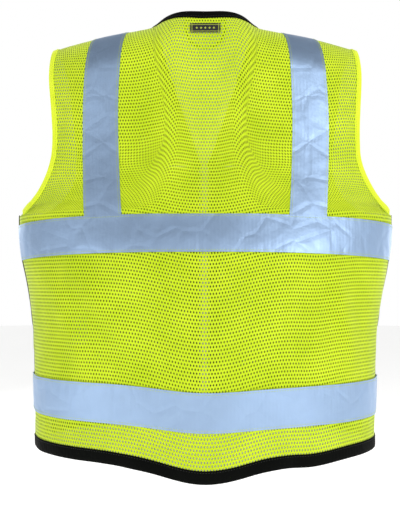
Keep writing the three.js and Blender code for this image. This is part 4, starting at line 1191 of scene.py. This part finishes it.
def make_labels():
    low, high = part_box("neck_label")

    def neck_at(s, t):
        x = lerp(low.x, high.x, s)
        z = lerp(low.z, high.z, t)
        return laid(across(1, x, z), LABEL_LAYER)

    made = sheet_of("woven_neck_label", 24, 10, neck_at, 0.6 * MM, "woven_label", Vector((0, 1, 0)))
    fit(made, "torso", "woven_label", ["neck_label"], "laid")
    place = frame_on(around(-1, CARGO_ANGLE, WAIST + 0.022))
    out = place[0].to_3x3() @ Vector((0, 0, -1))

    def care_at(s, t):
        v = lerp(-0.044, 0, t)
        n = -0.0063 - 0.002 * math.sin(math.pi * t) * s
        return in_frame(place, lerp(-0.015, 0.015, s), v, n)

    made = sheet_of("satin_care_label", 10, 14, care_at, 0.3 * MM, "satin_label", out)
    fit(made, "front_left", "care_label", ["care_label"], "hung")


# ---- Zip ----


def zip_frame():
    bottom = Vector((0, -depth_on(-1, ZIP_BOTTOM), ZIP_BOTTOM))
    top = Vector((0, -depth_on(-1, ZIP_TOP), ZIP_TOP))
    v = (top - bottom).normalized()
    u = Vector((1, 0, 0))
    n = u.cross(v).normalized()
    return (Matrix((u, v, n)).transposed().to_4x4(), bottom), (top - bottom).length


def softened(part, name, finish, body, edge):
    """A moulded or cast piece: the frame's solid with its edges rounded."""
    bm = bmesh.new()
    bm.from_mesh(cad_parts[part].data)
    bmesh.ops.remove_doubles(bm, verts=bm.verts, dist=0.00002)
    bmesh.ops.dissolve_limit(bm, angle_limit=0.02, verts=bm.verts, edges=bm.edges)
    sharp = [e for e in bm.edges if len(e.link_faces) == 2 and e.calc_face_angle() > 0.5]
    bmesh.ops.bevel(
        bm,
        geom=sharp,
        affect="EDGES",
        offset=edge,
        segments=2,
        profile=0.5,
        material=-1,
        clamp_overlap=True,
    )
    fit(as_object(name, bm, finish, 50), body, finish, [part])


def tooth_row(hand, place, length):
    """Moulded teeth on their bead."""
    bm = bmesh.new()
    turn, point = place
    count = int((length - 0.003) / TOOTH_PITCH)
    for k in range(count + 1):
        v = k * TOOTH_PITCH + (0 if hand > 0 else TOOTH_PITCH / 2) + 0.001
        for u, size in (
            (TEETH_HALF_GAP + 0.0024, (0.0044, 0.0019, 0.0024)),
            (TEETH_HALF_GAP + 0.0008, (0.0016, 0.0024, 0.0028)),
        ):
            spot = Matrix.Translation(point) @ turn @ Matrix.Translation((hand * u, v, 0))
            made = bmesh.ops.create_cube(bm, size=1, matrix=spot @ Matrix.Diagonal((*size, 1)))
            edges = {e for vert in made["verts"] for e in vert.link_edges}
            bmesh.ops.bevel(
                bm,
                geom=list(edges),
                affect="EDGES",
                offset=0.00035,
                segments=1,
                profile=0.5,
                material=-1,
            )
    word = "left" if hand > 0 else "right"
    made = as_object(f"teeth_row_{word}", bm, "zip_plastic", 60)
    fit(made, f"front_{word}", "zip_plastic", [f"zip_teeth_{word}"])

    def bead_at(s, t):
        a = math.tau * s
        u = TEETH_HALF_GAP + TOOTH_LENGTH + BEAD_WIDTH / 2 + 0.0009 * math.cos(a)
        return in_frame(place, hand * u, t * length, 0.0009 * math.sin(a))

    bead = sheet_of(
        f"zip_bead_{word}", 10, 110, bead_at, 0, "black_binding", Vector((hand, 0, 0)), closed=True
    )
    fit(bead, f"front_{word}", "zip_plastic")


def make_zip():
    place, length = zip_frame()
    for word, hand in SIDES:
        tooth_row(hand, place, length)

        def tape_at(s, t):
            z = lerp(HEM + 0.005, ZIP_TOP + 0.003, t)
            x = ZIP_TAPE_INNER + s * ZIP_TAPE_WIDTH
            base = handed(across(-1, x, z), hand)
            return base - normal_at(base) * lerp(0.4 * MM, 2.0 * MM, smooth(s * 3))

        made = sheet_of(f"woven_zip_tape_{word}", 8, 100, tape_at, 0.5 * MM, "zip_tape")
        fit(made, f"front_{word}", "black_binding", [f"zip_tape_{word}"], "laid")
        stop, name = f"zip_top_stop_{word}", f"moulded_top_stop_{word}"
        softened(stop, name, "zip_plastic", f"front_{word}", 0.5 * MM)
    for part, name, finish, body, edge in (
        ("zip_insertion_pin", "moulded_insertion_pin", "zip_plastic", "front_left", 0.6 * MM),
        ("zip_retainer_box", "moulded_retainer_box", "zip_plastic", "front_right", 0.9 * MM),
        ("zip_slider", "cast_slider", "painted_zinc", "zip_slider", 0.45 * MM),
        ("zip_pull_tab", "cast_pull_tab", "painted_zinc", "zip_pull_tab", 0.35 * MM),
    ):
        softened(part, name, finish, body, edge)


# ---- Materials ----


def to_linear(code):
    """An sRGB hex value as linear colour with alpha."""
    parts = [int(code[i : i + 2], 16) / 255 for i in (0, 2, 4)]
    return (*[c / 12.92 if c <= 0.04045 else ((c + 0.055) / 1.055) ** 2.4 for c in parts], 1)


def node(tree, kind, inputs, **settings):
    """Adds a node with its settings. Its inputs are values, sockets or nodes."""
    made = tree.nodes.new(kind)
    for name, value in settings.items():
        setattr(made, name, value)
    for key, value in inputs.items():
        if isinstance(value, bpy.types.Node):
            value = value.outputs[0]
        if isinstance(value, bpy.types.NodeSocket):
            tree.links.new(value, made.inputs[key])
        else:
            made.inputs[key].default_value = value
    return made


def blank(name):
    made = bpy.data.materials.new(name)
    made.use_nodes = True
    made.node_tree.nodes.clear()
    return made


def finished(made, shader):
    node(made.node_tree, "ShaderNodeOutputMaterial", {"Surface": shader})
    return made


MIX_A, MIX_B, MIX_COLOUR = 6, 7, 2
WAVE_FACTOR = 20  # the wave texture multiplies its place by this


def maths(tree, operation, *values):
    return node(tree, "ShaderNodeMath", dict(enumerate(values)), operation=operation)


def vector_maths(tree, operation, *values):
    return node(tree, "ShaderNodeVectorMath", dict(enumerate(values)), operation=operation)


def colour_mix(tree, share, low, high):
    mixed = node(tree, "ShaderNodeMix", {"Factor": share, MIX_A: low, MIX_B: high}, data_type="RGBA")
    return mixed.outputs[MIX_COLOUR]


def ramp(tree, value, start, end, low=0.0, high=1.0, **settings):
    """Takes a value from start..end to low..high."""
    ends = {"Value": value, "From Min": start, "From Max": end, "To Min": low, "To Max": high}
    return node(tree, "ShaderNodeMapRange", ends, **settings)


def bands(tree, spot, pitch, direction, **inputs):
    """Fine parallel ribs."""
    inputs = {"Vector": spot, "Scale": 1 / pitch / WAVE_FACTOR, **inputs}
    return node(tree, "ShaderNodeTexWave", inputs, bands_direction=direction).outputs["Fac"]


def speckle(tree, spot, scale, detail, **inputs):
    """Soft noise."""
    inputs = {"Vector": spot, "Scale": scale, "Detail": detail, **inputs}
    return node(tree, "ShaderNodeTexNoise", inputs).outputs["Fac"]


def bumped(tree, height, distance, strength, **settings):
    inputs = {"Height": height, "Distance": distance, "Strength": strength}
    return node(tree, "ShaderNodeBump", inputs, **settings)


def surfaced(made, colour, roughness, more):
    """Ends a material with its surface."""
    inputs = {"Base Color": colour, "Roughness": roughness, **more}
    return finished(made, node(made.node_tree, "ShaderNodeBsdfPrincipled", inputs))


def cloth(name):
    """A blank cloth material, its tree and its flat map in metres."""
    made = blank(name)
    return made, made.node_tree, node(made.node_tree, "ShaderNodeUVMap", {}, uv_map="UVMap")


def solid_blank(name):
    """A blank material, its tree and the place on the object."""
    made = blank(name)
    return made, made.node_tree, node(made.node_tree, "ShaderNodeTexCoord", {}).outputs["Object"]


def mottled(tree, spot, low, high, scale):
    """Two close colours, mixed by soft noise."""
    share = ramp(tree, speckle(tree, spot, scale, 3.0, Roughness=0.6), 0.3, 0.7)
    return colour_mix(tree, share, low, high)


def netting_material():
    """Warp-knitted polyester net in fluorescent lime: oval holes in offset rows, matt, a soft sheen, painted
    shade in the holes and a faint painted glow.
    """
    settings = bpy.context.scene.vest
    made, tree, uv = cloth("fluorescent_knitted_net")
    pitch_x, pitch_y = settings.hole_pitch_across, 2 * settings.hole_pitch_up
    wide, tall = settings.hole_width / 2, settings.hole_height / 2
    cells = vector_maths(tree, "MULTIPLY", uv, (1 / pitch_x, 1 / pitch_y, 0))
    nearest = []
    for shift in ((0.0, 0.0, 0.0), (0.5, 0.5, 0.0)):
        part = vector_maths(tree, "FRACTION", vector_maths(tree, "ADD", cells, shift))
        centred = vector_maths(tree, "SUBTRACT", part, (0.5, 0.5, 0))
        sized = vector_maths(tree, "MULTIPLY", centred, (pitch_x / wide, pitch_y / tall, 0))
        nearest.append(vector_maths(tree, "LENGTH", sized).outputs["Value"])
    hole = maths(tree, "MINIMUM", *nearest)
    # The yarn round a hole is nearly as thick as the hole is wide, so its walls would shade the hole; here
    # that shade is painted: each hole is left half opaque and coloured dark olive.
    # Painted shade film: the holes are left half opaque instead of open.
    solid = ramp(tree, hole, 0.9, 1.05, low=0.5)
    rim_and_hole_shade = ramp(tree, hole, 0.9, 1.3)
    loops = bands(tree, uv, 0.9 * MM, "Y", Distortion=1.5, Detail=1.0)
    bump = bumped(tree, maths(tree, "ADD", rim_and_hole_shade, loops), 0.25 * MM, 0.7)
    yarn = mottled(tree, uv, to_linear("c3dd0e"), to_linear("d7ed24"), 14.0)
    more = {
        "Sheen Weight": 0.25,
        "Sheen Roughness": 0.4,
        "Specular IOR Level": 0.3,
        # Painted glow: a faint emission makes the net glow a little of itself, standing in for its
        # fluorescence.
        "Emission Color": to_linear("c6ec10"),
        "Emission Strength": 0.03,
        "Alpha": solid,
        "Normal": bump,
    }
    # Painted shade: the holes are coloured dark olive, fading to the yarn's colour across the rim.
    return surfaced(made, colour_mix(tree, rim_and_hole_shade, to_linear("4f5c05"), yarn), 0.75, more)


def knit_material(name, low, high, rib, sheen, glow=0.0, depth=0.2 * MM, shine=0.3):
    """A close knit or woven cloth with fine ribs along its length."""
    made, tree, uv = cloth(name)
    ribs = bands(tree, uv, rib, "DIAGONAL", Distortion=0.6, Detail=1.0)
    relief = maths(tree, "ADD", ribs, bands(tree, uv, rib, "Y"))
    height = maths(tree, "ADD", relief, speckle(tree, uv, 90.0, 4.0))
    more = {
        "Sheen Weight": sheen,
        "Sheen Roughness": 0.35,
        "Specular IOR Level": shine,
        "Emission Color": to_linear(high),
        # A glow above 0 is painted light: the cloth glows a little of itself, standing in for fluorescence.
        "Emission Strength": glow,
        "Normal": bumped(tree, height, depth, 0.6),
    }
    return surfaced(made, mottled(tree, uv, to_linear(low), to_linear(high), 22.0), 0.7, more)


def reflective_material():
    """Glass-bead retroreflective fabric: silver grey, half metallic, with soft creases."""
    silver = tuple(bpy.context.scene.vest.tape_colour[:3])
    made, tree, uv = cloth("glass_bead_reflective_fabric")
    cracks = {"Vector": uv, "Scale": 26.0, "Randomness": 1.0}
    creases = node(tree, "ShaderNodeTexVoronoi", cracks, feature="DISTANCE_TO_EDGE")
    crease = ramp(tree, creases.outputs["Distance"], 0.0, 0.12, high=0.35)
    soft = speckle(tree, uv, 45.0, 4.0, Roughness=0.55)
    weave = maths(tree, "MULTIPLY", bands(tree, uv, 0.8 * MM, "X"), 0.06)
    height = maths(tree, "ADD", maths(tree, "ADD", crease, soft), weave)
    dull = tuple(0.86 * c for c in silver)
    colour = mottled(tree, uv, dull + (1,), silver + (1,), 9.0)
    more = {"Metallic": 0.8, "Normal": bumped(tree, height, 1.4 * MM, 0.5)}
    return surfaced(made, colour, ramp(tree, soft, 0.3, 0.7, 0.38, 0.5), more)


LABEL_MIDDLE = 0.0066  # up the label from its lower edge
LABEL_BORDER = (0.0188, 0.0049)  # from the middle, across and up
LABEL_LINE = 0.0004
DIAMOND_SPACING = 0.003
DIAMOND_SIZE = 0.0017
DIAMOND_ROW = 0.0160  # half the row's length


def label_material():
    """Damask-woven label: black ground, a fine pale border and a row of small diamonds."""
    made, tree, uv = cloth("damask_woven_label")
    parts = node(tree, "ShaderNodeSeparateXYZ", {0: uv})
    aside = maths(tree, "ABSOLUTE", parts.outputs["X"])
    up = maths(tree, "ABSOLUTE", maths(tree, "SUBTRACT", parts.outputs["Y"], LABEL_MIDDLE))
    lines = []
    for part, place in zip((aside, up), LABEL_BORDER):
        away = maths(tree, "ABSOLUTE", maths(tree, "SUBTRACT", part, place))
        lines.append(maths(tree, "LESS_THAN", away, LABEL_LINE))
    spaced = maths(tree, "PINGPONG", parts.outputs["X"], DIAMOND_SPACING)
    diamonds = maths(tree, "LESS_THAN", maths(tree, "ADD", spaced, up), DIAMOND_SIZE)
    kept = maths(tree, "MULTIPLY", diamonds, maths(tree, "LESS_THAN", aside, DIAMOND_ROW))
    motif = maths(tree, "MAXIMUM", maths(tree, "MAXIMUM", *lines), kept)
    colour = colour_mix(tree, motif, to_linear("0d0e0d"), to_linear("a8b43a"))
    bump = bumped(tree, bands(tree, uv, 0.5 * MM, "X"), 0.1 * MM, 0.5)
    return surfaced(made, colour, 0.5, {"Sheen Weight": 0.2, "Normal": bump})


def moulded_material(name, colour, roughness, metallic, grain):
    """A moulded or painted hard surface with a fine grain."""
    made, tree, spot = solid_blank(name)
    rough = ramp(tree, speckle(tree, spot, 160.0, 2.0), 0.0, 1.0, roughness - 0.1, roughness + 0.15)
    bump = bumped(tree, speckle(tree, spot, 1 / grain, 3.0), 0.05 * MM, 0.4)
    return surfaced(made, to_linear(colour), rough, {"Metallic": metallic, "Normal": bump})


def hook_material():
    """Hook-and-loop tape: dense black pile that scatters light, with painted shade darkening the hollows
    between its tufts.
    """
    made, tree, uv = cloth("hook_and_loop_pile")
    tufts = node(tree, "ShaderNodeTexVoronoi", {"Vector": uv, "Scale": 1 / (0.9 * MM)}).outputs["Distance"]
    # Painted shade: the colour darkens from each tuft's middle out into the hollows between tufts, where the
    # bump is low.
    colour = colour_mix(tree, tufts, to_linear("262826"), to_linear("060706"))
    bump = bumped(tree, tufts, 0.5 * MM, 1.0, invert=True)
    return surfaced(made, colour, 0.9, {"Sheen Weight": 0.5, "Normal": bump})


def floor_material():
    """Matt white studio floor."""
    made, tree, spot = solid_blank("matt_studio_floor")
    colour = mottled(tree, spot, to_linear("f4f4f2"), to_linear("fafaf9"), 3.0)
    return surfaced(made, colour, 0.9, {"Emission Color": (1, 1, 1, 1), "Emission Strength": 0.5})


FINISHES = {
    "netting": netting_material,
    # The lime pocket cloth and lime binding get a faint painted glow, 0.03 and 0.10.
    "pocket_cloth": lambda: knit_material("lime_tricot_cloth", "bdd80c", "cfe61e", 1.1 * MM, 0.2, 0.03),
    "lime_binding": lambda: knit_material("lime_folded_tricot", "dcee1c", "e9f83c", 0.9 * MM, 0.3, 0.10),
    "black_binding": lambda: knit_material(
        "black_folded_tricot", "040504", "080a08", 0.9 * MM, 0.01, shine=0.06
    ),
    "webbing": lambda: knit_material(
        "black_woven_webbing", "060706", "0e100e", 1.4 * MM, 0.02, depth=0.4 * MM, shine=0.12
    ),
    "zip_tape": lambda: knit_material("black_woven_zip_tape", "060706", "0d0f0d", 0.8 * MM, 0.02, shine=0.12),
    "reflective": reflective_material,
    "woven_label": label_material,
    "satin_label": lambda: knit_material("white_satin_ribbon", "dcdedb", "eceeea", 0.6 * MM, 0.2),
    "hook_and_loop": hook_material,
    "zip_plastic": lambda: moulded_material("moulded_black_acetal", "101210", 0.4, 0.0, 0.4 * MM),
    "painted_zinc": lambda: moulded_material("black_painted_zinc", "18191a", 0.38, 0.4, 0.3 * MM),
    "lime_thread": lambda: moulded_material("lime_polyester_thread", "c6d83a", 0.6, 0.0, 0.3 * MM),
    "black_thread": lambda: moulded_material("black_polyester_thread", "1c1e1c", 0.6, 0.0, 0.3 * MM),
    "floor": floor_material,
}
made_finishes = {}


def material(key):
    if key not in made_finishes:
        made_finishes[key] = FINISHES[key]()
    return made_finishes[key]


# ---- Stage ----

FLOOR_HEIGHT = -0.95
EYE = Vector((0.0075, 1.020, -0.390))
EYE_PITCH = math.radians(2.83)
LENS = 48.3
SKY_OVERHEAD = 0.2  # how bright the sky stays overhead and to the sides
SKY_LEFT = 0.5
SKY_RIGHT = 0.66
SKY_NEAR, SKY_FAR = 0.05, 0.45
SOFTBOXES = (  # name, place, size, power, seen in reflections
    ("key_back", (-1.5, 1.9, 0.3), 1.2, 14, True),
    ("fill_back", (1.6, 1.6, -0.2), 1.4, 5, True),
    ("key_front", (1.5, -1.9, 0.4), 1.2, 12, True),
    ("fill_front", (-1.6, -1.7, -0.1), 1.4, 5, True),
    ("overhead", (0, 0.3, 1.6), 1.6, 14, False),
)


def softbox(name, spot, size, power, glossy):
    light = bpy.data.lights.new(name, "AREA")
    light.shape = "DISK"
    light.size = size
    light.energy = power
    made = bpy.data.objects.new(name, light)
    bpy.context.scene.collection.objects.link(made)
    made.location = spot
    aim = Vector((0, 0, -0.33)) - Vector(spot)
    made.rotation_euler = aim.to_track_quat("-Z", "Y").to_euler()
    made.visible_glossy = glossy


def make_stage():
    scene = bpy.context.scene
    bm = bmesh.new()
    bmesh.ops.create_circle(bm, cap_ends=True, segments=96, radius=9)
    bmesh.ops.translate(bm, verts=bm.verts, vec=(0, 0, FLOOR_HEIGHT))
    bmesh.ops.recalc_face_normals(bm, faces=bm.faces)
    as_object("studio_floor", bm, "floor")
    world = bpy.data.worlds.new("studio")
    scene.world = world
    world.use_nodes = True
    tree = world.node_tree
    tree.nodes.clear()
    direction = node(tree, "ShaderNodeTexCoord", {})
    parts = node(tree, "ShaderNodeSeparateXYZ", {0: direction.outputs["Generated"]})
    level = ramp(tree, parts.outputs["Z"], 0.45, 0.85, 1.0, SKY_OVERHEAD, interpolation_type="SMOOTHSTEP")
    behind = maths(tree, "ADD", parts.outputs["Y"], 0.6)
    facing = maths(tree, "MAXIMUM", behind, 0.0)
    aside = maths(tree, "MULTIPLY", parts.outputs["X"], facing)
    left = ramp(tree, aside, SKY_NEAR, SKY_FAR, 1.0, SKY_LEFT)
    right = ramp(tree, aside, -SKY_FAR, -SKY_NEAR, SKY_RIGHT, 1.0)
    sides = maths(tree, "MULTIPLY", left, right)
    glow = maths(tree, "MULTIPLY", level, sides)
    sky = node(tree, "ShaderNodeBackground", {"Color": (1, 1, 1, 1), "Strength": glow})
    node(tree, "ShaderNodeOutputWorld", {"Surface": sky})
    for one in SOFTBOXES:
        softbox(*one)
    camera = bpy.data.cameras.new("eye")
    camera.lens = LENS
    camera.sensor_width = 36
    camera.clip_start = 0.01
    made = bpy.data.objects.new("eye", camera)
    scene.collection.objects.link(made)
    made.location = EYE
    made.rotation_euler = (HALF_PI + EYE_PITCH, 0, math.pi)
    scene.camera = made
    scene.view_settings.view_transform = "Standard"


# ---- Add-on ----


class VestSettings(bpy.types.PropertyGroup):
    """Sizes and colours that a user would change."""

    fold_depth: bpy.props.FloatProperty(
        name="Fold depth", description="How deep the folds are, 1 as worn", default=1.0, min=0, max=2
    )
    hole_pitch_across: bpy.props.FloatProperty(
        name="Hole pitch across", description="From hole to hole in a row", default=3.9 * MM, unit="LENGTH"
    )
    hole_pitch_up: bpy.props.FloatProperty(
        name="Row pitch", description="From one row of holes to the next", default=4.85 * MM, unit="LENGTH"
    )
    hole_width: bpy.props.FloatProperty(
        name="Hole width", description="Across one hole of the net", default=1.7 * MM, unit="LENGTH"
    )
    hole_height: bpy.props.FloatProperty(
        name="Hole height", description="Up one hole of the net", default=2.7 * MM, unit="LENGTH"
    )
    tape_colour: bpy.props.FloatVectorProperty(
        name="Tape colour",
        description="Silver of the reflective tape",
        default=to_linear("a9c4e6"),
        size=4,
        subtype="COLOR",
    )


class VEST_OT_netting(bpy.types.Operator):
    """Knitted panels of the back, shoulders and fronts"""

    bl_idname = "vest.netting"
    bl_label = "Netting"

    def execute(self, context):
        make_netting()
        return {"FINISHED"}


class VEST_OT_tapes(bpy.types.Operator):
    """Reflective tapes and their stitching"""

    bl_idname = "vest.tapes"
    bl_label = "Reflective tapes"

    def execute(self, context):
        make_tapes()
        return {"FINISHED"}


class VEST_OT_bindings(bpy.types.Operator):
    """Folded bindings of neck, armholes, hem and side seams"""

    bl_idname = "vest.bindings"
    bl_label = "Bindings"

    def execute(self, context):
        make_bindings()
        return {"FINISHED"}


class VEST_OT_cargo_pockets(bpy.types.Operator):
    """Two bellows pockets with flaps"""

    bl_idname = "vest.cargo_pockets"
    bl_label = "Cargo pockets"

    def execute(self, context):
        make_cargo_pockets()
        return {"FINISHED"}


class VEST_OT_chest_pockets(bpy.types.Operator):
    """Radio pocket on the left and pen pocket on the right"""

    bl_idname = "vest.chest_pockets"
    bl_label = "Chest pockets"

    def execute(self, context):
        make_radio_pocket()
        make_pen_pocket()
        return {"FINISHED"}


class VEST_OT_tabs_and_loop(bpy.types.Operator):
    """Webbing tabs on the chest and the hanging loop"""

    bl_idname = "vest.tabs_and_loop"
    bl_label = "Tabs and loop"

    def execute(self, context):
        make_tabs_and_loop()
        return {"FINISHED"}


class VEST_OT_labels(bpy.types.Operator):
    """Woven neck label and blank care label"""

    bl_idname = "vest.labels"
    bl_label = "Labels"

    def execute(self, context):
        make_labels()
        return {"FINISHED"}


class VEST_OT_zip(bpy.types.Operator):
    """Separating zip with slider and pull tab"""

    bl_idname = "vest.zip"
    bl_label = "Zip"

    def execute(self, context):
        make_zip()
        return {"FINISHED"}


class VEST_OT_stage(bpy.types.Operator):
    """Floor, studio light and camera"""

    bl_idname = "vest.stage"
    bl_label = "Stage"

    def execute(self, context):
        make_stage()
        return {"FINISHED"}


OPERATORS = (
    VEST_OT_stage,
    VEST_OT_netting,
    VEST_OT_tapes,
    VEST_OT_bindings,
    VEST_OT_cargo_pockets,
    VEST_OT_chest_pockets,
    VEST_OT_tabs_and_loop,
    VEST_OT_labels,
    VEST_OT_zip,
)


class VEST_PT_panel(bpy.types.Panel):
    """Lists the vest's pieces in the sidebar"""

    bl_idname = "VEST_PT_panel"
    bl_label = "Vest"
    bl_space_type = "VIEW_3D"
    bl_region_type = "UI"
    bl_category = "Vest"

    def draw(self, context):
        settings = context.scene.vest
        for name in VestSettings.__annotations__:
            self.layout.prop(settings, name)
        for operator in OPERATORS:
            self.layout.operator(operator.bl_idname)


CLASSES = (VestSettings, *OPERATORS, VEST_PT_panel)


def register():
    for one in CLASSES:
        bpy.utils.register_class(one)
    bpy.types.Scene.vest = bpy.props.PointerProperty(type=VestSettings)


def unregister():
    del bpy.types.Scene.vest
    for one in reversed(CLASSES):
        bpy.utils.unregister_class(one)


def main():
    register()
    for operator in OPERATORS:
        group, name = operator.bl_idname.split(".")
        getattr(getattr(bpy.ops, group), name)()


if __name__ == "__main__":
    main()
